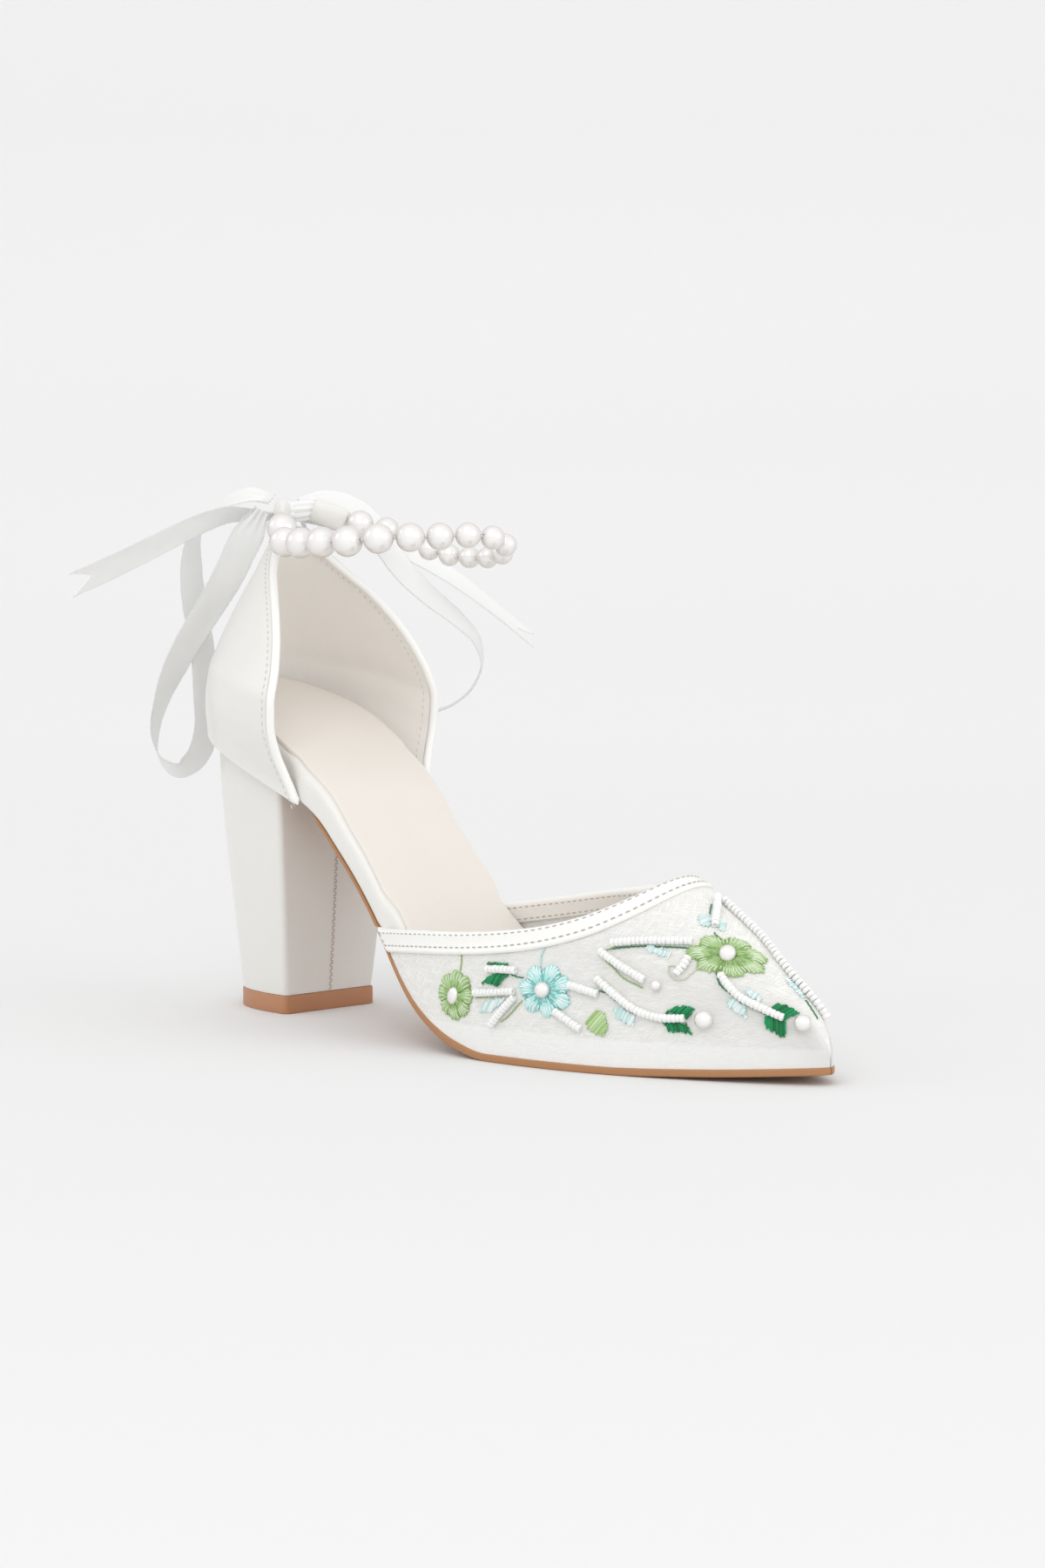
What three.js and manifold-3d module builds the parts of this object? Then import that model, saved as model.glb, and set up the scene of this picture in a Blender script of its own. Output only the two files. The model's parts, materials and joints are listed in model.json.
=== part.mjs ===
// Wedding shoe: a closed, pointed toe with a lace vamp, an open waist, a tall
// back with a pearl ankle strap tied by a ribbon bow, and a high block heel.
// Right shoe. Millimetres, +X to the toe, +Y to the wearer's inner side, +Z up.
// The origin is on the floor under the heel, in the middle of its top piece.
import * as THREE from 'three';
import { mergeVertices } from 'three/addons/utils/BufferGeometryUtils.js';
import Module from 'manifold-3d';

// Driving dimensions.
const shoeLength = 247.5; // back of the heel seat to the toe tip
const seatBack = -26; // x of the back of the heel seat
const ballWidth = 72;
const heelRise = 90; // floor to the underside of the seat, at its back
const toeSpring = 3;
const outsoleThickness = 2.2;
const outsoleSetback = 1.5; // how far ahead of the leaning breast the outsole starts
const sockThickness = 1.2;
const clearance = 0.3;
const edgeMargin = 0.5; // outsole showing beyond the upper and the footbed
const sockInset = 1.6;
const throatHeight = 54.3;
const instepHeight = 75;
const vampWall = 1.4;
const bindingWidth = 7.2;
const bindingThickness = 0.9;
const quarterWall = 1.9;
const quarterTop = 152; // floor to the top of the quarter
const quarterDepth = 61.4; // back of the quarter to its front tips
const quarterHalfWidth = 35;
const pipingDiameter = 2.6;
const heelBreast = 15.2; // x of the breast at the top piece
const heelTipDepth = 33.6;
const heelTipHalfWidth = 18.4;
const heelTopHalfWidth = 25.2;
const topPieceThickness = 5.8;
const topPieceProud = 0.35;
const breastLean = 5.2; // how far the breast leans forward up to the seat
const strapLift = 1.5; // strap's tabs above the top of the quarter
const pearlLargest = 9.4;
const pearlSmallest = 6.6;
const pearlBore = 2;
const elasticDiameter = 0.9;
const tabWidth = 7.6;
const tabThickness = 2.2; // at the closed end
const tabMouth = 5.2; // how far the open end gapes
const tabLeather = 0.8; // wall of the tube
const ribbonWidth = 10;
const ribbonThickness = 0.8;
const leadWidth = 4.6; // the ribbon gathered into a tab's mouth
const leadThickness = 2.4;
const leadReach = 1.5; // how far it goes into the tab
const knotLength = 9.2;
const knotHeight = 7.6;
const knotAhead = 20.8; // knot's middle ahead of the seat's back
const knotRise = 3.1; // knot's middle above the piping at the quarter's top

const wasm = await Module();
wasm.setup();

// Outline of the sole in plan: a row for each station from the seat's back to
// the toe tip. at is a share of the length, outer and inner of the ball width.
const outline = [
  { at: 0, outer: 0, inner: 0 },
  { at: 0.012, outer: 0.13, inner: 0.13 },
  { at: 0.045, outer: 0.256, inner: 0.256 },
  { at: 0.104, outer: 0.352, inner: 0.35 },
  { at: 0.168, outer: 0.379, inner: 0.37 },
  { at: 0.232, outer: 0.38, inner: 0.354 },
  { at: 0.291, outer: 0.367, inner: 0.318 },
  { at: 0.351, outer: 0.372, inner: 0.3 },
  { at: 0.405, outer: 0.405, inner: 0.314 },
  { at: 0.463, outer: 0.462, inner: 0.366 },
  { at: 0.527, outer: 0.501, inner: 0.43 },
  { at: 0.591, outer: 0.513, inner: 0.477 },
  { at: 0.655, outer: 0.493, inner: 0.5 },
  { at: 0.719, outer: 0.452, inner: 0.49 },
  { at: 0.783, outer: 0.383, inner: 0.447 },
  { at: 0.846, outer: 0.29, inner: 0.373 },
  { at: 0.91, outer: 0.181, inner: 0.276 },
  { at: 0.958, outer: 0.085, inner: 0.181 },
  { at: 0.986, outer: 0.019, inner: 0.113 },
  { at: 0.997, outer: -0.017, inner: 0.066 },
  { at: 1, outer: -0.039, inner: 0.039 },
];

// Underside of the sole at the middle: rise is a share of the heel rise,
// spring of the toe spring, and stack is the thickness up to the sock in mm.
const underside = [
  { at: 0, rise: 1, spring: 0, stack: 16.2 },
  { at: 0.104, rise: 0.895, spring: 0, stack: 15.6 },
  { at: 0.184, rise: 0.808, spring: 0, stack: 13.2 },
  { at: 0.248, rise: 0.733, spring: 0, stack: 10 },
  { at: 0.303, rise: 0.592, spring: 0, stack: 9 },
  { at: 0.367, rise: 0.412, spring: 0, stack: 9 },
  { at: 0.431, rise: 0.233, spring: 0, stack: 9 },
  { at: 0.495, rise: 0.101, spring: 0, stack: 8.6 },
  { at: 0.559, rise: 0.027, spring: 0, stack: 7.8 },
  { at: 0.615, rise: 0, spring: 0, stack: 7.4 },
  { at: 0.766, rise: 0, spring: 0, stack: 7.4 },
  { at: 0.862, rise: 0, spring: 0.27, stack: 7.3 },
  { at: 1, rise: 0, spring: 1, stack: 7.2 },
];

// The last over the forefoot: ridge is the height of its crest above the
// floor, as a share of the instep height; fullness bends the section's sides.
const instep = [
  { at: 0.34, ridge: 1, fullness: 2.5 },
  { at: 0.53, ridge: 0.88, fullness: 2.4 },
  { at: 0.69, ridge: 0.775, fullness: 2.2 },
  { at: 0.786, ridge: 0.692, fullness: 2.05 },
  { at: 0.846, ridge: 0.595, fullness: 2 },
  { at: 0.91, ridge: 0.465, fullness: 2 },
  { at: 0.958, ridge: 0.325, fullness: 2.1 },
  { at: 0.984, ridge: 0.22, fullness: 2.3 },
  { at: 1, ridge: 0.12, fullness: 2.6 },
];

// Topline of the vamp on both sides, as shares of the throat height.
const topline = [
  { at: 0.34, outer: 0.588, inner: 0.655 },
  { at: 0.4, outer: 0.608, inner: 0.7 },
  { at: 0.485, outer: 0.644, inner: 0.765 },
  { at: 0.575, outer: 0.672, inner: 0.84 },
  { at: 0.65, outer: 0.703, inner: 0.895 },
  { at: 0.71, outer: 0.755, inner: 0.95 },
  { at: 0.75, outer: 0.83, inner: 0.995 },
  { at: 0.778, outer: 0.92, inner: 1.045 },
  { at: 0.79, outer: 0.99, inner: 1.11 },
  { at: 0.83, outer: 1.3, inner: 1.4 },
];

// The quarter, a row for each tilted section from its feather edge up. frontX
// and backX are shares of its depth, half of its half width, frontZ and backZ
// of its height above the floor; belly rounds the seat, in mm.
const quarterRows = [
  { frontX: 0.96, half: 0.815, frontZ: 0.428, backX: 0.012, backZ: 0.563, fullness: 3, belly: 2.4 },
  { frontX: 0.91, half: 0.825, frontZ: 0.468, backX: 0.004, backZ: 0.592, fullness: 2.9, belly: 2.4 },
  { frontX: 0.875, half: 0.87, frontZ: 0.508, backX: 0, backZ: 0.62, fullness: 2.75, belly: 2 },
  { frontX: 0.855, half: 0.935, frontZ: 0.55, backX: -0.006, backZ: 0.65, fullness: 2.6, belly: 1.2 },
  { frontX: 0.848, half: 0.99, frontZ: 0.6, backX: -0.008, backZ: 0.688, fullness: 2.45, belly: 0.4 },
  { frontX: 0.853, half: 1, frontZ: 0.65, backX: 0, backZ: 0.728, fullness: 2.35, belly: 0 },
  { frontX: 0.838, half: 0.935, frontZ: 0.703, backX: 0.025, backZ: 0.768, fullness: 2.25, belly: 0 },
  { frontX: 0.788, half: 0.835, frontZ: 0.762, backX: 0.065, backZ: 0.812, fullness: 2.15, belly: 0 },
  { frontX: 0.71, half: 0.725, frontZ: 0.818, backX: 0.11, backZ: 0.855, fullness: 2, belly: 0 },
  { frontX: 0.612, half: 0.6, frontZ: 0.87, backX: 0.16, backZ: 0.895, fullness: 1.85, belly: 0 },
  { frontX: 0.5, half: 0.445, frontZ: 0.918, backX: 0.215, backZ: 0.932, fullness: 1.75, belly: 0 },
  { frontX: 0.42, half: 0.29, frontZ: 0.96, backX: 0.25, backZ: 0.966, fullness: 1.75, belly: 0 },
  { frontX: 0.395, half: 0.17, frontZ: 0.992, backX: 0.275, backZ: 0.996, fullness: 1.9, belly: 0 },
];

// The heel block from the top piece up: up is a share of the block's height,
// widen of the growth in half width, depth a share of the tip's depth.
const heelRows = [
  { up: 0, widen: 0, depth: 1, lean: 0 },
  { up: 0.35, widen: 0.34, depth: 1.16, lean: 0.4 },
  { up: 0.7, widen: 0.72, depth: 1.3, lean: 0.75 },
  { up: 1, widen: 1, depth: 1.38, lean: 1 },
  { up: 1.35, widen: 1.1, depth: 1.42, lean: 1.4 },
];
const heelFullness = 2.55;

// Where the pearl strap runs, from the outer tab round the ankle opening to
// the inner tab: x as a share of the shoe length ahead of the origin, y of the
// ball width, z of the quarter's height.
const strapRoute = [
  { x: 0.02, y: -0.139, z: 1.012 },
  { x: 0.033, y: -0.18, z: 0.994 },
  { x: 0.059, y: -0.247, z: 0.968 },
  { x: 0.1, y: -0.275, z: 0.964 },
  { x: 0.138, y: -0.28, z: 0.965 },
  { x: 0.178, y: -0.258, z: 0.966 },
  { x: 0.212, y: -0.205, z: 0.971 },
  { x: 0.238, y: -0.1, z: 0.974 },
  { x: 0.258, y: 0.02, z: 0.976 },
  { x: 0.277, y: 0.13, z: 0.979 },
  { x: 0.29, y: 0.24, z: 0.975 },
  { x: 0.286, y: 0.33, z: 0.964 },
  { x: 0.27, y: 0.39, z: 0.948 },
  { x: 0.24, y: 0.412, z: 0.936 },
  { x: 0.2, y: 0.398, z: 0.935 },
  { x: 0.162, y: 0.36, z: 0.943 },
  { x: 0.125, y: 0.32, z: 0.965 },
  { x: 0.092, y: 0.27, z: 0.99 },
  { x: 0.062, y: 0.2, z: 1.004 },
  { x: 0.045, y: 0.153, z: 1.01 },
];

// Ribbon strips: the middle line from the knot's middle, in mm, and roll in
// degrees, the turn of the width away from lying flat to the bow's face.
const bowTurn = 46; // degrees from the outer side towards the toe
const loopOuter = [
  { ahead: -1.7, inward: -9.6, up: 0.6, roll: 8 },
  { ahead: -6, inward: -11.8, up: -8.2, roll: 20 },
  { ahead: -12.3, inward: -14.6, up: -20.7, roll: 28 },
  { ahead: -18.8, inward: -17, up: -30.7, roll: 38 },
  { ahead: -23.8, inward: -21, up: -40.7, roll: 42 },
  { ahead: -27.8, inward: -24, up: -49.7, roll: 50 },
  { ahead: -31.8, inward: -26, up: -59.7, roll: 68 },
  { ahead: -34.3, inward: -27, up: -69.7, roll: 80 },
  { ahead: -34.3, inward: -25, up: -78.7, roll: 102 },
  { ahead: -31.8, inward: -20, up: -82.7, roll: 122 },
  { ahead: -29.3, inward: -14, up: -78.7, roll: 130 },
  { ahead: -28.3, inward: -11, up: -69.7, roll: 130 },
  { ahead: -28.8, inward: -11, up: -56.7, roll: 130 },
  { ahead: -28.8, inward: -12, up: -42.7, roll: 130 },
  { ahead: -28.8, inward: -15, up: -29.7, roll: 130 },
  { ahead: -27.8, inward: -17, up: -17.7, roll: 125 },
  { ahead: -26.3, inward: -17, up: -7.7, roll: 108 },
  { ahead: -22.8, inward: -15, up: -0.7, roll: 90 },
  { ahead: -16.8, inward: -11, up: 3.8, roll: 70 },
  { ahead: -9.8, inward: -7, up: 5.9, roll: 58 },
  { ahead: -3.8, inward: -3.8, up: 5.3, roll: 54 },
];
const loopInner = [
  { ahead: -0.1, inward: 7.2, up: 4.3, roll: 62 },
  { ahead: 3.2, inward: 11.3, up: 5.6, roll: 66 },
  { ahead: 7.7, inward: 15.5, up: 4.6, roll: 64 },
  { ahead: 12.7, inward: 22, up: -0.2, roll: 54 },
  { ahead: 16.7, inward: 27, up: -9.7, roll: 46 },
  { ahead: 20.2, inward: 32.5, up: -18.7, roll: 50 },
  { ahead: 24.2, inward: 40, up: -26.7, roll: 56 },
  { ahead: 28.2, inward: 48, up: -33.7, roll: 64 },
  { ahead: 30.7, inward: 54.5, up: -40.7, roll: 75 },
  { ahead: 29.7, inward: 58, up: -48.7, roll: 88 },
  { ahead: 25.2, inward: 58, up: -56.7, roll: 90 },
  { ahead: 18.2, inward: 55, up: -62.7, roll: 90 },
  { ahead: 10.2, inward: 51, up: -64.7, roll: 95 },
  { ahead: 2.2, inward: 45, up: -59.7, roll: 100 },
  { ahead: -3.8, inward: 37, up: -45.7, roll: 100 },
  { ahead: -6.8, inward: 30, up: -29.7, roll: 95 },
  { ahead: -7.8, inward: 20, up: -14.7, roll: 90 },
  { ahead: -3.8, inward: 9.5, up: -3.2, roll: 85 },
];
const tailOuter = [
  { ahead: -4.7, inward: -2.9, up: -1.3, roll: 66 },
  { ahead: -7.8, inward: -7.2, up: -0.7, roll: 66 },
  { ahead: -10.8, inward: -15, up: -0.7, roll: 62 },
  { ahead: -12.8, inward: -23.4, up: -3.1, roll: 58 },
  { ahead: -14.6, inward: -32, up: -6.7, roll: 55 },
  { ahead: -17.2, inward: -40, up: -10.7, roll: 53 },
  { ahead: -19.7, inward: -48.2, up: -14.7, roll: 52 },
  { ahead: -22.3, inward: -56.4, up: -18.5, roll: 50 },
  { ahead: -25.4, inward: -65.6, up: -22.7, roll: 50 },
];
const tailInner = [
  { ahead: 0.2, inward: 6.5, up: -1.2, roll: 65 },
  { ahead: 4.2, inward: 17.5, up: -2.7, roll: 55 },
  { ahead: 10.2, inward: 31, up: -7.2, roll: 50 },
  { ahead: 17.1, inward: 42, up: -13.7, roll: 55 },
  { ahead: 25.5, inward: 51.2, up: -21.7, roll: 64 },
  { ahead: 32.7, inward: 61.5, up: -31.2, roll: 70 },
  { ahead: 38.2, inward: 73, up: -41.2, roll: 72 },
];

// Reads a column of a table at any station, through a monotone cubic.
function along(table, column, at) {
  const last = table.length - 1;
  let i = 0;
  while (i < last - 1 && at > table[i + 1].at) i += 1;
  const slope = (k) => (table[k + 1][column] - table[k][column]) / (table[k + 1].at - table[k].at);
  const bend = (k) => {
    if (k === 0) return slope(0);
    if (k === last) return slope(last - 1);
    const before = slope(k - 1);
    const after = slope(k);
    return before * after <= 0 ? 0 : (2 * before * after) / (before + after);
  };
  const step = table[i + 1].at - table[i].at;
  const t = Math.min(Math.max((at - table[i].at) / step, 0), 1);
  const start = table[i][column];
  const end = table[i + 1][column];
  return (
    start * (2 * t ** 3 - 3 * t ** 2 + 1) +
    end * (3 * t ** 2 - 2 * t ** 3) +
    bend(i) * step * (t ** 3 - 2 * t ** 2 + t) +
    bend(i + 1) * step * (t ** 3 - t ** 2)
  );
}

const share = (x) => (x - seatBack) / shoeLength;
const station = (at) => seatBack + at * shoeLength;
const range = (count) => Array.from({ length: count + 1 }, (_, i) => i / count);
const power = (value, exponent) => Math.sign(value) * Math.abs(value) ** exponent;

// The plan outline as a smooth closed curve, then its half widths at any x.
const outlineCurve = new THREE.CatmullRomCurve3(
  [
    ...outline.map((row) => new THREE.Vector3(station(row.at), -row.outer * ballWidth, 0)),
    ...outline
      .slice(1, -1)
      .reverse()
      .map((row) => new THREE.Vector3(station(row.at), row.inner * ballWidth, 0)),
  ],
  true,
  'centripetal',
);
const outerHalf = (x) => along(outline, 'outer', share(x)) * ballWidth;
const innerHalf = (x) => along(outline, 'inner', share(x)) * ballWidth;

function undersideHeight(at) {
  return along(underside, 'rise', at) * heelRise + along(underside, 'spring', at) * toeSpring;
}

// A point of the profile at a height above the underside, square to it.
function profilePoint(at, height) {
  const step = 0.004;
  const run = 2 * step * shoeLength;
  const fall = undersideHeight(at + step) - undersideHeight(at - step);
  const size = Math.hypot(run, fall);
  return new THREE.Vector2(
    station(at) - (fall / size) * height,
    undersideHeight(at) + (run / size) * height,
  );
}

const stackAt = (at) => along(underside, 'stack', at);
const overrun = 0.03; // how far a cut runs on past both ends of the sole
const profileLevel = (level) => range(36).map((t) => {
  const at = t * (1 + 2 * overrun) - overrun;
  return profilePoint(at, level(at));
});

// Solids and booleans.
function toSolid(geometry) {
  const bare = geometry.index ? geometry.toNonIndexed() : geometry.clone();
  bare.deleteAttribute('normal');
  bare.deleteAttribute('uv');
  const merged = mergeVertices(bare, 1e-4);
  return new wasm.Manifold(
    new wasm.Mesh({
      numProp: 3,
      vertProperties: new Float32Array(merged.attributes.position.array),
      triVerts: new Uint32Array(merged.index.array),
    }),
  );
}

function toGeometry(solid) {
  const { vertProperties, triVerts } = solid.getMesh();
  const geometry = new THREE.BufferGeometry();
  geometry.setAttribute('position', new THREE.BufferAttribute(vertProperties, 3));
  geometry.setIndex(new THREE.BufferAttribute(triVerts, 1));
  geometry.computeVertexNormals();
  return geometry;
}

function fromFaces(points, faces) {
  const geometry = new THREE.BufferGeometry();
  const places = points.flatMap((p) => [p.x, p.y, p.z]);
  geometry.setAttribute('position', new THREE.Float32BufferAttribute(places, 3));
  geometry.setIndex(faces.flat());
  geometry.computeVertexNormals();
  return geometry;
}

// A solid through closed convex loops with equal numbers of points.
function loft(loops) {
  const size = loops[0].length;
  const points = loops.flat();
  const faces = [];
  for (let r = 0; r < loops.length - 1; r += 1) {
    for (let i = 0; i < size; i += 1) {
      const a = r * size + i;
      const b = r * size + ((i + 1) % size);
      faces.push([a, b, b + size], [a, b + size, a + size]);
    }
  }
  const end = (loops.length - 1) * size;
  for (let i = 1; i < size - 1; i += 1) {
    faces.push([0, i + 1, i], [end, end + i, end + i + 1]);
  }
  return fromFaces(points, faces);
}

// A walled sheet between two grids of points, closed round its four edges.
function walled(front, back) {
  const columns = front[0].length;
  const loops = front.map((row, r) => [...row, ...[...back[r]].reverse()]);
  const size = 2 * columns;
  const points = loops.flat();
  const faces = [];
  for (let r = 0; r < loops.length - 1; r += 1) {
    for (let i = 0; i < size; i += 1) {
      const a = r * size + i;
      const b = r * size + ((i + 1) % size);
      faces.push([a, b, b + size], [a, b + size, a + size]);
    }
  }
  const end = (loops.length - 1) * size;
  for (let i = 0; i < columns - 1; i += 1) {
    const across = size - 1 - i;
    faces.push([i, across, i + 1], [i + 1, across, across - 1]);
    faces.push([end + i, end + i + 1, end + across], [end + i + 1, end + across - 1, end + across]);
  }
  return fromFaces(points, faces);
}

const volume = (geometry) => {
  const solid = toSolid(geometry);
  return solid.volume();
};

// Turns a shell the right way out when its loops ran the other way.
function outward(geometry) {
  if (volume(geometry) > 0) return geometry;
  const order = geometry.index.array;
  for (let i = 0; i < order.length; i += 3) [order[i], order[i + 1]] = [order[i + 1], order[i]];
  geometry.computeVertexNormals();
  return geometry;
}

// A block with the given outline in x and z, wide enough to cut the shoe.
function sideBlock(points) {
  const shape = new THREE.Shape(points);
  const geometry = new THREE.ExtrudeGeometry(shape, { depth: 2 * ballWidth, bevelEnabled: false });
  geometry.translate(0, 0, -ballWidth);
  geometry.rotateX(Math.PI / 2);
  return toSolid(geometry);
}

// The band of the profile between two levels above the underside.
function slab(lower, upper) {
  return sideBlock([...profileLevel(lower), ...profileLevel(upper).reverse()]);
}

// Everything on one side of a level above the underside, out to a height.
function beyond(level, height) {
  const edge = profileLevel(level);
  const [first, last] = [edge[0], edge[edge.length - 1]];
  return sideBlock([...edge, new THREE.Vector2(last.x, height), new THREE.Vector2(first.x, height)]);
}

// An upright prism with the sole's outline, drawn in by a margin.
function outlinePrism(margin) {
  const count = 56;
  const points = range(count).slice(0, count).map((t) => {
    const spot = outlineCurve.getPointAt(t);
    const way = outlineCurve.getTangentAt(t);
    return new THREE.Vector2(spot.x - way.y * margin, spot.y + way.x * margin);
  });
  const geometry = new THREE.ExtrudeGeometry(new THREE.Shape(points), {
    depth: 2 * heelRise,
    bevelEnabled: false,
  });
  geometry.translate(0, 0, -heelRise / 2);
  return toSolid(geometry);
}

// A section of the last across the forefoot, grown outwards or drawn in. A
// section near the tip also moves along by what it grows.
const narrowest = 0.4;
const tipFrom = 0.7;
const lastFoot = 4; // how far a section runs on below the underside
function lastSection(at, grow) {
  const x = station(at);
  const tipShift = (at * Math.max(0, at - tipFrom) / (1 - tipFrom)) * grow;
  const crestY = (innerHalf(x) - outerHalf(x)) / 2;
  const half = Math.max((innerHalf(x) + outerHalf(x)) / 2 - edgeMargin + grow, narrowest);
  const floorZ = undersideHeight(at);
  const crest = along(instep, 'ridge', at) * instepHeight + grow - floorZ;
  const bend = 2 / along(instep, 'fullness', at);
  const steps = 16;
  const arch = range(steps).map((t) => {
    const angle = t * Math.PI;
    const side = power(Math.cos(angle), bend);
    return new THREE.Vector3(
      x + tipShift,
      crestY - side * half,
      floorZ + crest * Math.sin(angle) ** bend,
    );
  });
  return [
    new THREE.Vector3(x + tipShift, arch[0].y, floorZ - lastFoot),
    ...arch,
    new THREE.Vector3(x + tipShift, arch[steps].y, floorZ - lastFoot),
  ];
}

function lastSolid(grow) {
  const stations = [
    0.34, 0.39, 0.44, 0.49, 0.54, 0.59, 0.64, 0.69, 0.735, 0.77, 0.8, 0.83, 0.86, 0.89, 0.92,
    0.945, 0.965, 0.98, 0.991, 0.9985,
  ];
  return toSolid(outward(loft(stations.map((at) => lastSection(at, grow)))));
}

// Everything above the topline, lowered by a drop.
function aboveTopline(drop) {
  const top = instepHeight + quarterTop;
  const loops = range(18).map((t) => {
    const at = 0.33 + t * 0.5;
    const x = station(at);
    const outer = along(topline, 'outer', at) * throatHeight;
    const inner = along(topline, 'inner', at) * throatHeight;
    const middle = (outer + inner) / 2;
    const tilt = ((inner - outer) / ballWidth) * 1.1;
    return [
      new THREE.Vector3(x, -ballWidth, middle - tilt * ballWidth - drop),
      new THREE.Vector3(x, ballWidth, middle + tilt * ballWidth - drop),
      new THREE.Vector3(x, ballWidth, top),
      new THREE.Vector3(x, -ballWidth, top),
    ];
  });
  return toSolid(outward(loft(loops)));
}

const belowUpper = beyond(() => outsoleThickness + clearance, -heelRise);

// The vamp: one hollow wall over the forefoot, open at the throat and below.
function vampShell(grow, wall, drop) {
  const shell = lastSolid(grow).subtract(lastSolid(grow - wall));
  return shell.subtract(aboveTopline(drop)).subtract(belowUpper);
}

const vampSolid = vampShell(0, vampWall, bindingThickness + clearance);

// The binding folded over the topline, outside, over the edge and inside.
function bindingSolid() {
  const reach = clearance + bindingThickness;
  const fold = vampShell(reach, vampWall + 2 * reach, 0);
  const strip = fold.intersect(aboveTopline(bindingWidth));
  return strip.subtract(vampShell(clearance, vampWall + 2 * clearance, bindingThickness));
}

// Room that the upper takes at the edge of the footbed and the sock.
const insideVamp = lastSolid(-vampWall - bindingThickness - 2 * clearance);
const besideVamp = sideBlock([
  new THREE.Vector2(station(0.36), -heelRise),
  new THREE.Vector2(station(1.1), -heelRise),
  new THREE.Vector2(station(1.1), quarterTop),
  new THREE.Vector2(station(0.36), quarterTop),
]).subtract(aboveTopline(-clearance)).subtract(insideVamp);

// A U-shaped section of the quarter, drawn in by a margin all round.
function quarterSection(row, margin, forward) {
  const frontX = seatBack + row.frontX * quarterDepth + forward;
  const backX = seatBack + row.backX * quarterDepth + margin;
  const half = row.half * quarterHalfWidth - margin;
  const frontZ = row.frontZ * quarterTop;
  const backZ = row.backZ * quarterTop;
  return range(20).map((t) => {
    const angle = t * Math.PI;
    const deep = Math.sin(angle) ** (2 / row.fullness);
    const side = power(Math.cos(angle), 2 / row.fullness);
    return new THREE.Vector3(
      frontX + (backX - frontX) * deep,
      -half * side - row.belly * Math.sin(2 * angle),
      frontZ + (backZ - frontZ) * deep,
    );
  });
}

const skirtDrop = 0.06; // how far the lowest row reaches on below its feather edge
const quarterSkirt = {
  ...quarterRows[0],
  frontZ: quarterRows[0].frontZ - skirtDrop,
  backZ: quarterRows[0].backZ - skirtDrop,
};
const quarterTall = [quarterSkirt, ...quarterRows];

function quarterSolid(grow) {
  const outside = quarterTall.map((row) => quarterSection(row, -grow, grow));
  const inside = quarterTall.map((row) => quarterSection(row, quarterWall + grow, grow));
  return toSolid(outward(walled(outside, inside)));
}

const quarter = quarterSolid(0).subtract(belowUpper);

function footbedSolid() {
  const slice = slab(
    () => outsoleThickness + clearance,
    (at) => stackAt(at) - sockThickness - clearance,
  );
  return outlinePrism(edgeMargin)
    .intersect(slice)
    .subtract(besideVamp)
    .subtract(quarterSolid(clearance));
}

function sockSolid() {
  const slice = slab((at) => stackAt(at) - sockThickness, stackAt);
  return outlinePrism(edgeMargin + sockInset)
    .intersect(slice)
    .subtract(besideVamp)
    .subtract(quarterSolid(clearance));
}

// D-shaped section of the heel: flat breast in front, round at the back.
function heelSection(row, grow) {
  const breast = heelBreast + row.lean * breastLean + grow;
  const half = heelTipHalfWidth + row.widen * (heelTopHalfWidth - heelTipHalfWidth) + grow;
  const depth = row.depth * heelTipDepth + grow;
  const height = topPieceThickness + clearance + row.up * (heelRise * 0.8);
  return range(18).map((t) => {
    const angle = t * Math.PI;
    return new THREE.Vector3(
      breast - depth * Math.sin(angle) ** (2 / heelFullness),
      -half * power(Math.cos(angle), 2 / heelFullness),
      height,
    );
  });
}

function heelBlockSolid() {
  const column = toSolid(outward(loft(heelRows.map((row) => heelSection(row, 0)))));
  const aboveSeat = beyond(() => outsoleThickness, quarterTop);
  return column.subtract(aboveSeat);
}

function topPieceSolid() {
  const foot = heelSection(heelRows[0], topPieceProud);
  const shape = new THREE.Shape(foot.map((p) => new THREE.Vector2(p.x, p.y)));
  return toSolid(new THREE.ExtrudeGeometry(shape, { depth: topPieceThickness, bevelEnabled: false }));
}

function outsoleSolid() {
  const start = heelBreast + breastLean + clearance + outsoleSetback;
  const behind = sideBlock([
    new THREE.Vector2(-shoeLength, -heelRise),
    new THREE.Vector2(start, -heelRise),
    new THREE.Vector2(start, quarterTop),
    new THREE.Vector2(-shoeLength, quarterTop),
  ]);
  return outlinePrism(0)
    .intersect(slab(() => 0, () => outsoleThickness))
    .subtract(behind);
}

// Piping round the free edge of the quarter, up one side and down the other.
const pipingReach = pipingDiameter / 2 + clearance;
function pipingRoute() {
  const edge = (row, side) => {
    const section = quarterSection(row, quarterWall / 2, 0);
    const spot = side < 0 ? section[0] : section[section.length - 1];
    const forward = new THREE.Vector3(
      (row.frontX - row.backX) * quarterDepth,
      0,
      (row.frontZ - row.backZ) * quarterTop,
    );
    return spot.addScaledVector(forward.normalize(), pipingReach);
  };
  const top = quarterSection(quarterRows[quarterRows.length - 1], quarterWall / 2, 0);
  const over = [3, 7, 10, 13, 17].map((i) => top[i].clone().setZ(top[i].z + pipingReach));
  const rows = quarterTall.slice(0, -1);
  return new THREE.CatmullRomCurve3(
    [...rows.map((row) => edge(row, -1)), ...over, ...rows.reverse().map((row) => edge(row, 1))],
    false,
    'centripetal',
  );
}

function circle(diameter, sides) {
  const points = range(sides).slice(0, sides).map((t) => {
    const angle = (t + 0.5 / sides) * 2 * Math.PI;
    return new THREE.Vector2(Math.cos(angle), Math.sin(angle)).multiplyScalar(diameter / 2);
  });
  return new THREE.Shape(points);
}

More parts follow.
